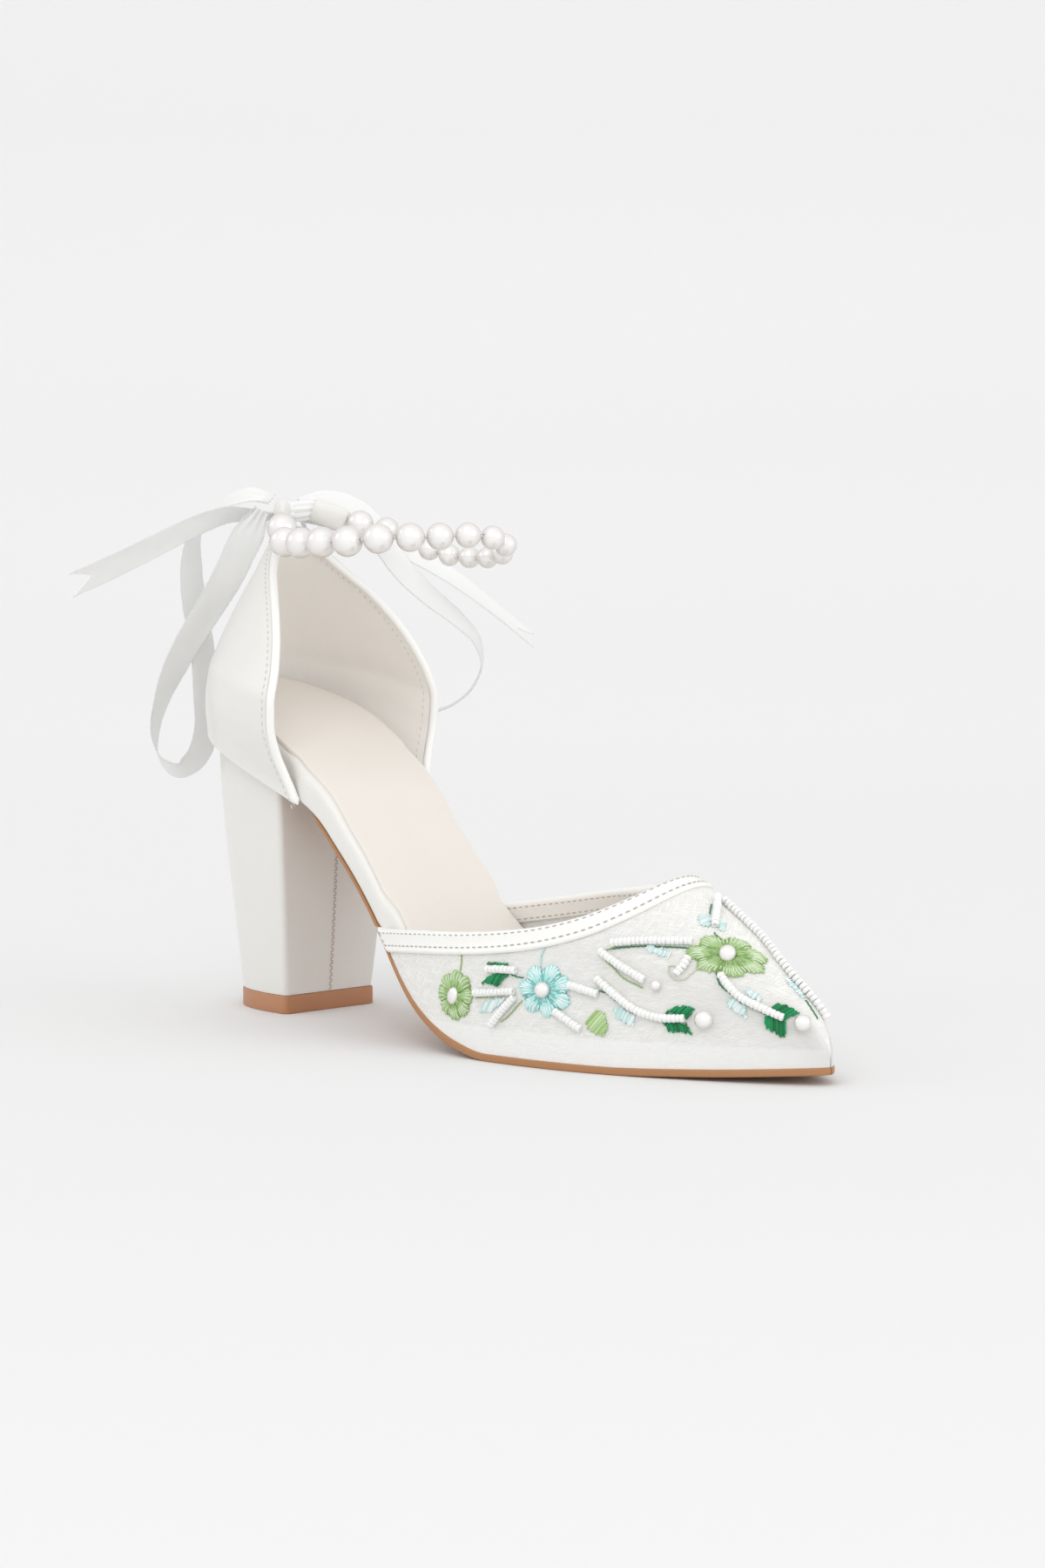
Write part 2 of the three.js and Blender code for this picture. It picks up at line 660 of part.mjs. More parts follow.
function pipingSolid(grow) {
  const geometry = new THREE.ExtrudeGeometry(circle(pipingDiameter + 2 * grow, 6), {
    extrudePath: pipingRoute(),
    steps: 41,
    bevelEnabled: false,
  });
  return toSolid(outward(geometry)).subtract(belowUpper);
}

// The pearl strap: pearls strung on an elastic between two leather tabs.
const strapHeight = quarterTop + strapLift;
const strapCurve = new THREE.CatmullRomCurve3(
  strapRoute.map(({ x, y, z }) => new THREE.Vector3(x * shoeLength, y * ballWidth, z * strapHeight)),
  false,
  'centripetal',
);
strapCurve.arcLengthDivisions = 600;

// Largest beside the tabs, smallest past the front of the ring.
function pearlDiameter(t) {
  const fall = Math.sin(Math.PI * Math.min(Math.max((t - 0.22) / 0.86, 0), 1)) ** 2;
  return pearlLargest - (pearlLargest - pearlSmallest) * fall;
}

function stringPearls() {
  const length = strapCurve.getLength();
  const pearls = [];
  let reach = clearance;
  for (;;) {
    const diameter = pearlDiameter(reach / length);
    if (reach + diameter + clearance > length) break;
    pearls.push({ diameter, middle: reach + diameter / 2 });
    reach += diameter + clearance;
  }
  const spare = (length - reach) / pearls.length;
  return pearls.map((pearl, i) => {
    const t = (pearl.middle + spare * (i + 0.5)) / length;
    return { diameter: pearl.diameter, spot: strapCurve.getPointAt(t), way: strapCurve.getTangentAt(t) };
  });
}

const pearls = stringPearls();
const upright = new THREE.Vector3(0, 1, 0);

function pearlGeometry(pearl) {
  const radius = pearl.diameter / 2;
  const bore = pearlBore / 2;
  const open = Math.asin(bore / radius);
  const arc = range(5).map((t) => {
    const angle = open + t * (Math.PI - 2 * open);
    return new THREE.Vector2(radius * Math.sin(angle), -radius * Math.cos(angle));
  });
  const geometry = new THREE.LatheGeometry([...arc, arc[0]], 9);
  geometry.applyQuaternion(new THREE.Quaternion().setFromUnitVectors(upright, pearl.way));
  geometry.translate(...pearl.spot.toArray());
  return geometry;
}

// A ring of points square to a direction, an ellipse or a flattened one.
function ring(spot, way, width, height, count) {
  const side = new THREE.Vector3(0, 0, 1).cross(way).normalize();
  const up = way.clone().cross(side).normalize();
  return range(count).slice(0, count).map((t) => {
    const angle = t * 2 * Math.PI;
    return spot.clone()
      .addScaledVector(side, (width / 2) * Math.cos(angle))
      .addScaledVector(up, (height / 2) * Math.sin(angle));
  });
}

function elasticSolid() {
  const ends = [];
  for (const { diameter, spot, way } of pearls) {
    const half = diameter / 2 - pearlBore / 3;
    ends.push({ spot: spot.clone().addScaledVector(way, -half), way });
    ends.push({ spot: spot.clone().addScaledVector(way, half), way });
  }
  const rings = ends.map(({ spot, way }) => ring(spot, way, elasticDiameter, elasticDiameter, 5));
  return toSolid(outward(loft(rings)));
}

const outerTabEnd = strapCurve.getPoint(0);
const innerTabEnd = strapCurve.getPoint(1);
const knotMiddle = new THREE.Vector3(seatBack + knotAhead, 0, quarterTop + pipingDiameter + knotRise);
const fromKnot = ({ ahead, inward, up }) => new THREE.Vector3(ahead, inward, up).add(knotMiddle);
const outerMouth = fromKnot({ ahead: 5.7, inward: -6.5, up: 1.1 });
const innerMouth = fromKnot({ ahead: 7.7, inward: 5.5, up: 1.1 });

// A tab is a flattened leather tube: its open mouth takes the ribbon, and the
// strap's elastic is caught in its closed end.
function tabSolid(mouth, end) {
  const way = end.clone().sub(mouth).normalize();
  const at = (t) => mouth.clone().lerp(end, t);
  const body = loft([
    ring(at(0), way, tabMouth, tabWidth, 12),
    ring(at(0.35), way, 0.85 * tabMouth, tabWidth, 12),
    ring(at(0.8), way, tabThickness, tabWidth, 12),
    ring(at(1), way, tabThickness * 0.8, tabWidth * 0.72, 12),
  ]);
  const pocketWidth = tabWidth - 2 * tabLeather;
  const pocketGape = tabMouth - 2 * tabLeather;
  const pocket = loft([
    ring(at(-0.1), way, pocketGape, pocketWidth, 12),
    ring(at(0.5), way, 0.45 * pocketGape, 0.8 * pocketWidth, 12),
  ]);
  return toSolid(outward(body)).subtract(toSolid(outward(pocket)));
}

// A ribbon strip along its rows, with its width turned as they say.
function ribbonSolid(rows) {
  const line = new THREE.CatmullRomCurve3(rows.map(fromKnot));
  const turn = THREE.MathUtils.degToRad(bowTurn);
  const facing = new THREE.Vector3(Math.sin(turn), -Math.cos(turn), 0);
  const steps = 2 * (rows.length - 1);
  const front = [];
  const back = [];
  for (let i = 0; i <= steps; i += 1) {
    const t = i / steps;
    const k = Math.min(Math.floor(i / 2), rows.length - 2);
    const mix = i / 2 - k;
    const roll = THREE.MathUtils.degToRad(rows[k].roll * (1 - mix) + rows[k + 1].roll * mix);
    const spot = line.getPoint(t);
    const way = line.getTangent(t);
    const flat = way.clone().cross(facing).normalize();
    const deep = flat.clone().cross(way);
    const across = flat.multiplyScalar(Math.cos(roll)).addScaledVector(deep, Math.sin(roll));
    const face = way.clone().cross(across).multiplyScalar(ribbonThickness / 2);
    const sides = [-0.5, 0.5].map((s) => spot.clone().addScaledVector(across, s * ribbonWidth));
    front.push(sides.map((p) => p.clone().add(face)));
    back.push(sides.map((p) => p.clone().sub(face)));
  }
  return toSolid(outward(walled(front, back)));
}

// The knot, with a gathered lead of the ribbon into the mouth of each tab.
function knotSolid() {
  const ball = new THREE.SphereGeometry(0.5, 10, 7);
  ball.scale(knotHeight, knotLength, knotHeight);
  ball.translate(...knotMiddle.toArray());
  const lead = (mouth, end) => {
    const way = end.clone().sub(mouth).normalize();
    const inside = mouth.clone().addScaledVector(way, leadReach);
    return toSolid(outward(loft([
      ring(knotMiddle, way, 1.7 * leadThickness, 1.1 * leadWidth, 8),
      ring(mouth, way, leadThickness, leadWidth, 8),
      ring(inside, way, 0.7 * leadThickness, 0.85 * leadWidth, 8),
    ])));
  };
  return toSolid(ball).add(lead(outerMouth, outerTabEnd)).add(lead(innerMouth, innerTabEnd));
}

const leatherPearl = { color: 0xedece6, roughness: 0.3, metalness: 0 };
const satin = { color: 0xf4f4f1, roughness: 0.35, metalness: 0 };
const group = new THREE.Group();
function add(name, solid, look) {
  const mesh = new THREE.Mesh(toGeometry(solid), new THREE.MeshStandardMaterial(look));
  mesh.name = name;
  group.add(mesh);
  return mesh;
}

add('heel_top_piece', topPieceSolid(), { color: 0xa8735a, roughness: 0.6, metalness: 0 });
add('heel_block', heelBlockSolid(), leatherPearl);
add('outsole', outsoleSolid(), { color: 0xb3825a, roughness: 0.55, metalness: 0 });
const pipingRoom = pipingSolid(clearance);
add('footbed', footbedSolid().subtract(pipingRoom), leatherPearl);
add('sock_lining', sockSolid().subtract(pipingRoom), { color: 0xeee4d8, roughness: 0.5, metalness: 0 });
add('vamp', vampSolid, { color: 0xf1efe8, roughness: 0.8, metalness: 0 });
add('topline_binding', bindingSolid(), leatherPearl);
add('quarter', quarter.subtract(pipingRoom), leatherPearl);
add('quarter_piping', pipingSolid(0), leatherPearl);
pearls.forEach((pearl, i) => {
  add(`pearl_${String(i + 1).padStart(2, '0')}`, toSolid(outward(pearlGeometry(pearl))), {
    color: 0xf3efe9,
    roughness: 0.15,
    metalness: 0,
  });
});
add('strap_elastic', elasticSolid(), { color: 0xf5f5f2, roughness: 0.7, metalness: 0 });
add('tab_outer', tabSolid(outerMouth, outerTabEnd), leatherPearl);
add('tab_inner', tabSolid(innerMouth, innerTabEnd), leatherPearl);
add('bow_knot', knotSolid(), satin);
add('bow_loop_outer', ribbonSolid(loopOuter), satin);
add('bow_loop_inner', ribbonSolid(loopInner), satin);
add('ribbon_tail_outer', ribbonSolid(tailOuter), satin);
add('ribbon_tail_inner', ribbonSolid(tailInner), satin);

export default group;
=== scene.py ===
import json
import math
import random

import bmesh
import bpy
import numpy as np
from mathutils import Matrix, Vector

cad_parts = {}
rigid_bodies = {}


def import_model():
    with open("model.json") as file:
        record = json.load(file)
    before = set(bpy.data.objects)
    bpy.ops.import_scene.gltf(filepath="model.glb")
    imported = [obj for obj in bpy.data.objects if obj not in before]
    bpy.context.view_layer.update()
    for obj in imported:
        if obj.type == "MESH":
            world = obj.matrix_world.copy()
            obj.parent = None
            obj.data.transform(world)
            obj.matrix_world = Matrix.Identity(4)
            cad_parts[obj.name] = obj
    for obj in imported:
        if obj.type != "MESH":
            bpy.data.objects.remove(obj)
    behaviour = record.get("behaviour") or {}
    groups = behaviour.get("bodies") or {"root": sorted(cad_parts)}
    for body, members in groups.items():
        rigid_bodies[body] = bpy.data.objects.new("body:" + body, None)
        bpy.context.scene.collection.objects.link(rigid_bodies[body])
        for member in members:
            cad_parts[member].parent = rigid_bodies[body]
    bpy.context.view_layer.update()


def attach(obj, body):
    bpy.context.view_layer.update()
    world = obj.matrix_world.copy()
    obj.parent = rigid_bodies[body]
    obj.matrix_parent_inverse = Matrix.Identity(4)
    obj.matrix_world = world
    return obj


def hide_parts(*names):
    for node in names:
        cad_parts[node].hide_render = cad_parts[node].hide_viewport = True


for leftover in list(bpy.data.objects):
    bpy.data.objects.remove(leftover)
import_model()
scene = bpy.context.scene

# Camera: a long lens a metre away on the outer side of the toe, just above the
# floor, looking slightly down.
eye = Vector((0.7638, -0.6376, 0.1422))
look_turn = math.radians(46)
look_down = math.radians(4.1)
look = Vector(
    (
        -math.sin(look_turn) * math.cos(look_down),
        math.cos(look_turn) * math.cos(look_down),
        -math.sin(look_down),
    )
)
camera_data = bpy.data.cameras.new("camera")
camera_data.lens = 71.2
camera_data.clip_start = 0.01
camera_data.clip_end = 20
camera = bpy.data.objects.new("camera", camera_data)
camera.location = eye
camera.rotation_mode = "QUATERNION"
camera.rotation_quaternion = look.to_track_quat("-Z", "Y")
scene.collection.objects.link(camera)
scene.camera = camera


# Ribbon bow: two loops and two notched tails of one satin ribbon with picot
# edges. Each strip follows its rows from the knot, with the width rolled away
# from the side that the bow faces.
mm = 0.001


def columns(names, rows):
    """A table with named columns."""
    return dict(zip(names.split(), np.array(rows, float).T))


def spline(points, steps, closed=False):
    """A centripetal Catmull-Rom curve through points, with steps to a span."""
    points = np.array(points, float)
    count = len(points)
    spans = count if closed else count - 1
    out = []
    for i in range(spans):
        if closed:
            a, b, c, d = (points[(i + k) % count] for k in (-1, 0, 1, 2))
        else:
            b, c = points[i], points[i + 1]
            a = points[i - 1] if i else 2 * b - c
            d = points[i + 2] if i + 2 < count else 2 * c - b
        spans_between = ((a, b), (b, c), (c, d))
        knots = np.cumsum([0] + [max(np.linalg.norm(q - p), 1e-6) ** 0.5 for p, q in spans_between])
        for s in range(steps):
            t = knots[1] + (knots[2] - knots[1]) * s / steps

            def mix(p, q, lo, hi):
                return p * (hi - t) / (hi - lo) + q * (t - lo) / (hi - lo)

            ab, bc, cd = mix(a, b, *knots[0:2]), mix(b, c, *knots[1:3]), mix(c, d, *knots[2:4])
            abc, bcd = mix(ab, bc, knots[0], knots[2]), mix(bc, cd, knots[1], knots[3])
            out.append(mix(abc, bcd, knots[1], knots[2]))
    return np.array(out if closed else out + [points[-1]])


def unit(vectors):
    return vectors / np.maximum(np.linalg.norm(vectors, axis=-1, keepdims=True), 1e-9)


def reach(points):
    """Lengths along a line of points."""
    return np.concatenate([[0], np.cumsum(np.linalg.norm(np.diff(points, axis=0), axis=1))])


def piece(name, points, faces, uvs, materials, slots=None, replaces=(), slot="leather", crease=50):
    """A closed mesh in the row frame from points in mm, with a uv in mm to each face corner."""
    mesh = bpy.data.meshes.new(name)
    mesh.from_pydata((np.array(points) * mm).tolist(), [], faces)
    layer = mesh.uv_layers.new(name="surface")
    layer.data.foreach_set("uv", np.array([uv for face in uvs for uv in face], "f").ravel())
    for material in materials:
        mesh.materials.append(material)
    if slots:
        mesh.polygons.foreach_set("material_index", slots)
    work = bmesh.new()
    work.from_mesh(mesh)
    bmesh.ops.recalc_face_normals(work, faces=work.faces)
    work.to_mesh(mesh)
    work.free()
    mesh.polygons.foreach_set("use_smooth", [True] * len(mesh.polygons))
    mesh.set_sharp_from_angle(angle=math.radians(crease))
    made = bpy.data.objects.new(name, mesh)
    scene.collection.objects.link(made)
    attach(made, "root")
    if replaces:
        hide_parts(*replaces)
    return made


def loft(name, loops, materials, pick=None, **facts):
    """A capped tube through rows of loops; pick gives a face's material from its row and column."""
    loops = np.array(loops, float)
    rows, size = loops.shape[:2]
    down = reach(loops[:, size // 4])
    ring = loops[rows // 2]
    round_it = reach(np.vstack([ring, ring[:1]]))
    faces, uvs, slots = [], [], []
    for r in range(rows - 1):
        for c in range(size):
            n = (c + 1) % size
            faces.append((r * size + c, r * size + n, (r + 1) * size + n, (r + 1) * size + c))
            u0, u1, v0, v1 = round_it[c], round_it[c + 1], down[r], down[r + 1]
            uvs.append(((u0, v0), (u1, v0), (u1, v1), (u0, v1)))
            slots.append(pick(r, c) if pick else 0)
    for r in (0, rows - 1):
        faces.append([r * size + c for c in range(size)])
        uvs.append([(round_it[c], down[r]) for c in range(size)])
        slots.append(0)
    return piece(name, loops.reshape(-1, 3), faces, uvs, materials, slots, **facts)


def shell(name, front, back, materials, pick=None, **facts):
    """A wall between two grids of points; pick gives a face's material from its side: front, back or rim."""
    front, back = np.array(front, float), np.array(back, float)
    rows, size = front.shape[:2]
    flat = rows * size
    u = np.array([reach(row) - reach(row)[-1] / 2 for row in front])
    v = np.array([reach(front[:, c]) for c in range(size)]).T
    uv = np.concatenate([np.stack([u, v], -1).reshape(-1, 2)] * 2).tolist()
    faces, slots = [], []
    slot_of = pick or (lambda side: 0)
    for r in range(rows - 1):
        for c in range(size - 1):
            a = r * size + c
            faces.append((a, a + 1, a + size + 1, a + size))
            faces.append(tuple(flat + i for i in faces[-1][::-1]))
            slots += [slot_of("front"), slot_of("back")]
    border = list(range(size)) + [r * size + size - 1 for r in range(1, rows)]
    border += [(rows - 1) * size + c for c in range(size - 2, -1, -1)]
    border += [r * size for r in range(rows - 2, 0, -1)]
    for a, b in zip(border, border[1:] + border[:1]):
        faces.append((b, a, flat + a, flat + b))
        slots.append(slot_of("rim"))
    points = np.concatenate([front.reshape(-1, 3), back.reshape(-1, 3)])
    return piece(name, points, faces, [[uv[i] for i in face] for face in faces], materials, slots, **facts)


def group_of(name, sockets):
    """A shader node group with its inputs and outputs made: (name, direction, type, default)."""
    group = bpy.data.node_groups.new(name, "ShaderNodeTree")
    for label, way, kind, value in sockets:
        socket = group.interface.new_socket(name=label, in_out=way, socket_type=kind)
        if value is not None:
            socket.default_value = value
    return group, group.nodes.new("NodeGroupInput"), group.nodes.new("NodeGroupOutput")


def tree_of(material):
    """A material's nodes, links and principled shader."""
    nodes = material.node_tree.nodes
    return nodes, material.node_tree.links, nodes["Principled BSDF"]


def node_of(nodes, kind, inputs=None, **settings):
    """A new node with its settings, and values for some of its inputs."""
    node = nodes.new(kind)
    for label, value in settings.items():
        setattr(node, label, value)
    for socket, value in (inputs or {}).items():
        node.inputs[socket].default_value = value
    return node


def join(links, *pairs):
    """Links sockets, each from (node, output, node, input)."""
    for source, output, target, socket in pairs:
        links.new(source.outputs[output], target.inputs[socket])


def material_of(name, colour, roughness, **values):
    """A principled material."""
    material = bpy.data.materials.new(name)
    material.use_nodes = True
    shader = tree_of(material)[2]
    shader.inputs["Base Color"].default_value = (*colour, 1)
    shader.inputs["Roughness"].default_value = roughness
    for label, value in values.items():
        shader.inputs[label.replace("_", " ")].default_value = value
    return material


def relief(material, group, strength, distance, **values):
    """Raises a group's Height as a bump, in metres, and returns its node."""
    nodes, links, shader = tree_of(material)
    node = node_of(nodes, "ShaderNodeGroup", node_tree=group)
    for label, value in values.items():
        node.inputs[label].default_value = value
    bump = node_of(nodes, "ShaderNodeBump", {"Strength": strength, "Distance": distance})
    join(
        links,
        (node, "Height", bump, "Height"),
        (bump, "Normal", shader, "Normal"),
    )
    return node


def threads_group():
    """Fine threads across a surface: ribs along u, broken up by a soft noise."""
    group, entry, out = group_of(
        "threads",
        [
            ("Pitch", "INPUT", "NodeSocketFloat", 0.3),
            ("Wander", "INPUT", "NodeSocketFloat", 0.5),
            ("Height", "OUTPUT", "NodeSocketFloat", None),
        ],
    )
    nodes, links = group.nodes, group.links
    uv = node_of(nodes, "ShaderNodeUVMap", uv_map="surface")
    rate = node_of(nodes, "ShaderNodeMath", {0: 0.314}, operation="DIVIDE")
    links.new(entry.outputs["Pitch"], rate.inputs[1])
    wave = node_of(nodes, "ShaderNodeTexWave", {"Detail": 1, "Detail Scale": 0.6}, bands_direction="Y")
    join(
        links,
        (uv, "UV", wave, "Vector"),
        (rate, 0, wave, "Scale"),
        (entry, "Wander", wave, "Distortion"),
        (wave, "Fac", out, "Height"),
    )
    return group


threads = threads_group()

satin = material_of(
    "satin",
    (0.86, 0.86, 0.85),
    0.28,
    Sheen_Weight=0.1,
    Sheen_Roughness=0.4,
    Anisotropic=0.6,
    Specular_IOR_Level=0.8,
)
relief(satin, threads, 0.25, 0.00006, Pitch=0.45)

ribbon_width = 10
ribbon_thickness = 0.34
knot = np.array([-5.2, 0, 157.7])
bow_turn = math.radians(46)
bow_face = np.array([math.sin(bow_turn), -math.cos(bow_turn), 0])
loop_outer = columns(
    "ahead inward up roll",
    [
        (-1.2, -9.2, 0.8, 8),
        (-6, -11.8, -8.2, 20),
        (-12.3, -14.6, -20.7, 28),
        (-18.8, -17, -30.7, 38),
        (-23.8, -21, -40.7, 42),
        (-27.8, -24, -49.7, 50),
        (-31.8, -26, -59.7, 68),
        (-34.3, -27, -69.7, 80),
        (-34.3, -25, -78.7, 102),
        (-31.8, -20, -82.7, 122),
        (-29.3, -14, -78.7, 130),
        (-28.3, -11, -69.7, 130),
        (-28.8, -11, -56.7, 130),
        (-28.8, -12, -42.7, 130),
        (-28.8, -15, -29.7, 130),
        (-27.8, -17, -17.7, 125),
        (-26.3, -17, -7.7, 108),
        (-22.8, -15, -0.7, 90),
        (-16.8, -11, 3.8, 70),
        (-9.8, -7, 5.9, 58),
        (-3.4, -3.4, 4.6, 54),
    ],
)
loop_inner = columns(
    "ahead inward up roll",
    [
        (0.4, 5.8, 3.6, 62),
        (3.2, 11.3, 5.6, 66),
        (7.7, 15.5, 4.6, 64),
        (12.7, 22, -0.2, 54),
        (16.7, 27, -9.7, 46),
        (20.2, 32.5, -18.7, 50),
        (24.2, 40, -26.7, 56),
        (28.2, 48, -33.7, 64),
        (30.7, 54.5, -40.7, 75),
        (29.7, 58, -48.7, 88),
        (25.2, 58, -56.7, 90),
        (18.2, 55, -62.7, 90),
        (10.2, 51, -64.7, 95),
        (2.2, 45, -59.7, 100),
        (-3.8, 37, -45.7, 100),
        (-6.8, 30, -29.7, 95),
        (-7.8, 20, -14.7, 90),
        (-3, 8.4, -2.2, 85),
    ],
)
tail_outer = columns(
    "ahead inward up roll",
    [
        (-3.4, -2.6, -1, 66),
        (-7.8, -7.2, -0.7, 66),
        (-10.8, -15, -0.7, 62),
        (-12.8, -23.4, -3.1, 58),
        (-14.6, -32, -6.7, 55),
        (-17.2, -40, -10.7, 53),
        (-19.7, -48.2, -14.7, 52),
        (-22.3, -56.4, -18.5, 50),
        (-25.4, -65.6, -22.7, 50),
    ],
)
tail_inner = columns(
    "ahead inward up roll",
    [
        (0.2, 5.5, -1.2, 65),
        (4.2, 17.5, -2.7, 55),
        (10.2, 31, -7.2, 50),
        (17.1, 42, -13.7, 55),
        (25.5, 51.2, -21.7, 64),
        (32.7, 61.5, -31.2, 70),
        (38.2, 73, -41.2, 72),
    ],
)


def ribbon_frames(rows, steps=8):
    """Middle points, directions across and faces of a strip."""
    line = spline(np.stack([rows["ahead"], rows["inward"], rows["up"]], 1) + knot, steps)
    roll = np.radians(spline(np.stack([rows["roll"], rows["roll"] * 0, rows["roll"] * 0], 1), steps)[:, 0])
    way = unit(np.gradient(line, axis=0))
    flat = unit(np.cross(way, bow_face))
    across = unit(flat * np.cos(roll)[:, None] + np.cross(flat, way) * np.sin(roll)[:, None])
    return line, across, np.cross(way, across)


def ribbon(name, rows, node, notch=0.0, cup=0.35):
    """A strip of ribbon, a little cupped, with a V cut in its end."""
    line, across, face = ribbon_frames(rows)
    length = reach(line)
    sides = np.linspace(-1, 1, 15)
    ripple = 0.25 * np.sin(length / 9.0) + 0.15 * np.sin(length / 4.1 + 1)
    front, back = [], []
    for i, s in enumerate(length):
        top, under = [], []
        near = s if notch else min(s, length[-1] - s)
        gathered = math.exp(-((near / 6) ** 2))
        for u in sides:
            to = s * (length[-1] - notch * (1 - abs(u))) / length[-1]
            spot = np.array([np.interp(to, length, line[:, k]) for k in range(3)])
            spot = spot + across[i] * u * ribbon_width / 2 * (1 - 0.5 * gathered)
            spot = spot + face[i] * 0.6 * gathered * math.sin(3 * math.pi * u)
            spot = spot + face[i] * (cup * (1 - u * u) + ripple[i] * u * (1 - u * u))
            top.append(spot + face[i] * ribbon_thickness / 2)
            under.append(spot - face[i] * ribbon_thickness / 2)
        front.append(top)
        back.append(under)
    made = shell(name, front, back, [satin], replaces=[node], slot="ribbon", crease=60)
    return np.array(front), np.array(back), face


ribbon_edges = []
for ribbon_name, ribbon_rows, cut in (
    ("bow_loop_outer", loop_outer, 0),
    ("bow_loop_inner", loop_inner, 0),
    ("ribbon_tail_outer", tail_outer, 7),
    ("ribbon_tail_inner", tail_inner, 7),
):
    front, back, face = ribbon(f"{ribbon_name}_satin", ribbon_rows, ribbon_name, cut)
    for side in (0, -1):
        ribbon_edges.append(((front[:, side] + back[:, side]) / 2, face))


# Picots: a row of tiny thread rings along both edges of every ribbon strip,
# lying flat with the ribbon.
def repeat_group():
    """Sets a small shape along lines at a spacing, square to their facing vector."""
    group = bpy.data.node_groups.new("repeat along lines", "GeometryNodeTree")
    face = group.interface
    face.new_socket(name="Lines", in_out="INPUT", socket_type="NodeSocketGeometry")
    face.new_socket(name="Shape", in_out="INPUT", socket_type="NodeSocketObject")
    face.new_socket(name="Spacing", in_out="INPUT", socket_type="NodeSocketFloat").default_value = 0.001
    face.new_socket(name="Turn", in_out="INPUT", socket_type="NodeSocketFloat")
    face.new_socket(name="Vary", in_out="INPUT", socket_type="NodeSocketFloat")
    face.new_socket(name="Seed", in_out="INPUT", socket_type="NodeSocketInt").default_value = 4
    face.new_socket(name="Finish", in_out="INPUT", socket_type="NodeSocketMaterial")
    face.new_socket(name="Shapes", in_out="OUTPUT", socket_type="NodeSocketGeometry")
    nodes, links = group.nodes, group.links
    entry, out = nodes.new("NodeGroupInput"), nodes.new("NodeGroupOutput")

    curve = node_of(nodes, "GeometryNodeMeshToCurve")
    even = node_of(nodes, "GeometryNodeResampleCurve", mode="LENGTH")
    facing = node_of(nodes, "GeometryNodeInputNamedAttribute", {"Name": "facing"}, data_type="FLOAT_VECTOR")
    way = node_of(nodes, "GeometryNodeInputTangent")
    axes = node_of(nodes, "FunctionNodeAxesToRotation", primary_axis="Z", secondary_axis="X")
    index = node_of(nodes, "GeometryNodeInputIndex")
    odd = node_of(nodes, "ShaderNodeMath", {1: 2}, operation="MODULO")
    sign = node_of(nodes, "ShaderNodeMath", {1: 2, 2: -1}, operation="MULTIPLY_ADD")
    turn = node_of(nodes, "ShaderNodeMath", operation="MULTIPLY")
    spin = node_of(nodes, "ShaderNodeCombineXYZ")
    tilt = node_of(nodes, "FunctionNodeRotateRotation", rotation_space="LOCAL")
    size = node_of(nodes, "FunctionNodeRandomValue", data_type="FLOAT")
    low = node_of(nodes, "ShaderNodeMath", {0: 1}, operation="SUBTRACT")
    high = node_of(nodes, "ShaderNodeMath", {0: 1}, operation="ADD")
    shape = node_of(nodes, "GeometryNodeObjectInfo", {"As Instance": True}, transform_space="ORIGINAL")
    place = node_of(nodes, "GeometryNodeInstanceOnPoints")
    real = node_of(nodes, "GeometryNodeRealizeInstances")
    finish = node_of(nodes, "GeometryNodeSetMaterial")
    join(
        links,
        (entry, "Lines", curve, "Mesh"),
        (curve, "Curve", even, "Curve"),
        (entry, "Spacing", even, "Length"),
        (facing, "Attribute", axes, "Primary Axis"),
        (way, "Tangent", axes, "Secondary Axis"),
        (index, "Index", odd, 0),
        (odd, 0, sign, 0),
        (sign, 0, turn, 0),
        (entry, "Turn", turn, 1),
        (turn, 0, spin, "Z"),
        (axes, "Rotation", tilt, "Rotation"),
        (spin, "Vector", tilt, "Rotate By"),
        (entry, "Vary", low, 1),
        (entry, "Vary", high, 1),
        (low, 0, size, 2),
        (high, 0, size, 3),
        (entry, "Seed", size, "Seed"),
        (entry, "Shape", shape, "Object"),
        (even, "Curve", place, "Points"),
        (shape, "Geometry", place, "Instance"),
        (tilt, "Rotation", place, "Rotation"),
        (size, 1, place, "Scale"),
        (place, "Instances", real, "Geometry"),
        (real, "Geometry", finish, "Geometry"),
        (entry, "Finish", finish, "Material"),
        (finish, "Geometry", out, "Shapes"),
    )
    return group


repeat_along = repeat_group()


def plain(name, lines, group, slot, **values):
    """Runs a node group on lines of (points, facing) in mm, and keeps the result as a plain mesh."""
    mesh = bpy.data.meshes.new(name)
    points = np.vstack([line for line, _ in lines])
    facing = np.vstack([np.broadcast_to(face, line.shape) for line, face in lines])
    edges, start = [], 0
    for line, _ in lines:
        edges += [(start + i, start + i + 1) for i in range(len(line) - 1)]
        start += len(line)
    mesh.from_pydata((points * mm).tolist(), edges, [])
    facing_layer = mesh.attributes.new("facing", "FLOAT_VECTOR", "POINT")
    facing_layer.data.foreach_set("vector", facing.astype("f").ravel())
    made = bpy.data.objects.new(name, mesh)
    scene.collection.objects.link(made)
    modifier = made.modifiers.new("repeat", "NODES")
    modifier.node_group = group
    for item in group.interface.items_tree:
        if item.in_out == "INPUT" and item.name in values:
            modifier[item.identifier] = values[item.name]
    evaluated = made.evaluated_get(bpy.context.evaluated_depsgraph_get())
    made_mesh = bpy.data.meshes.new_from_object(evaluated)
    made.modifiers.clear()
    made.data = made_mesh
    made_mesh.polygons.foreach_set("use_smooth", [True] * len(made_mesh.polygons))
    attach(made, "root")
    return made


def shape_of(name, build):
    """A small shape that a node group repeats, in metres."""
    mesh = bpy.data.meshes.new(name)
    work = bmesh.new()
    build(work)
    work.to_mesh(mesh)
    work.free()
    made = bpy.data.objects.new(name, mesh)
    scene.collection.objects.link(made)
    return made


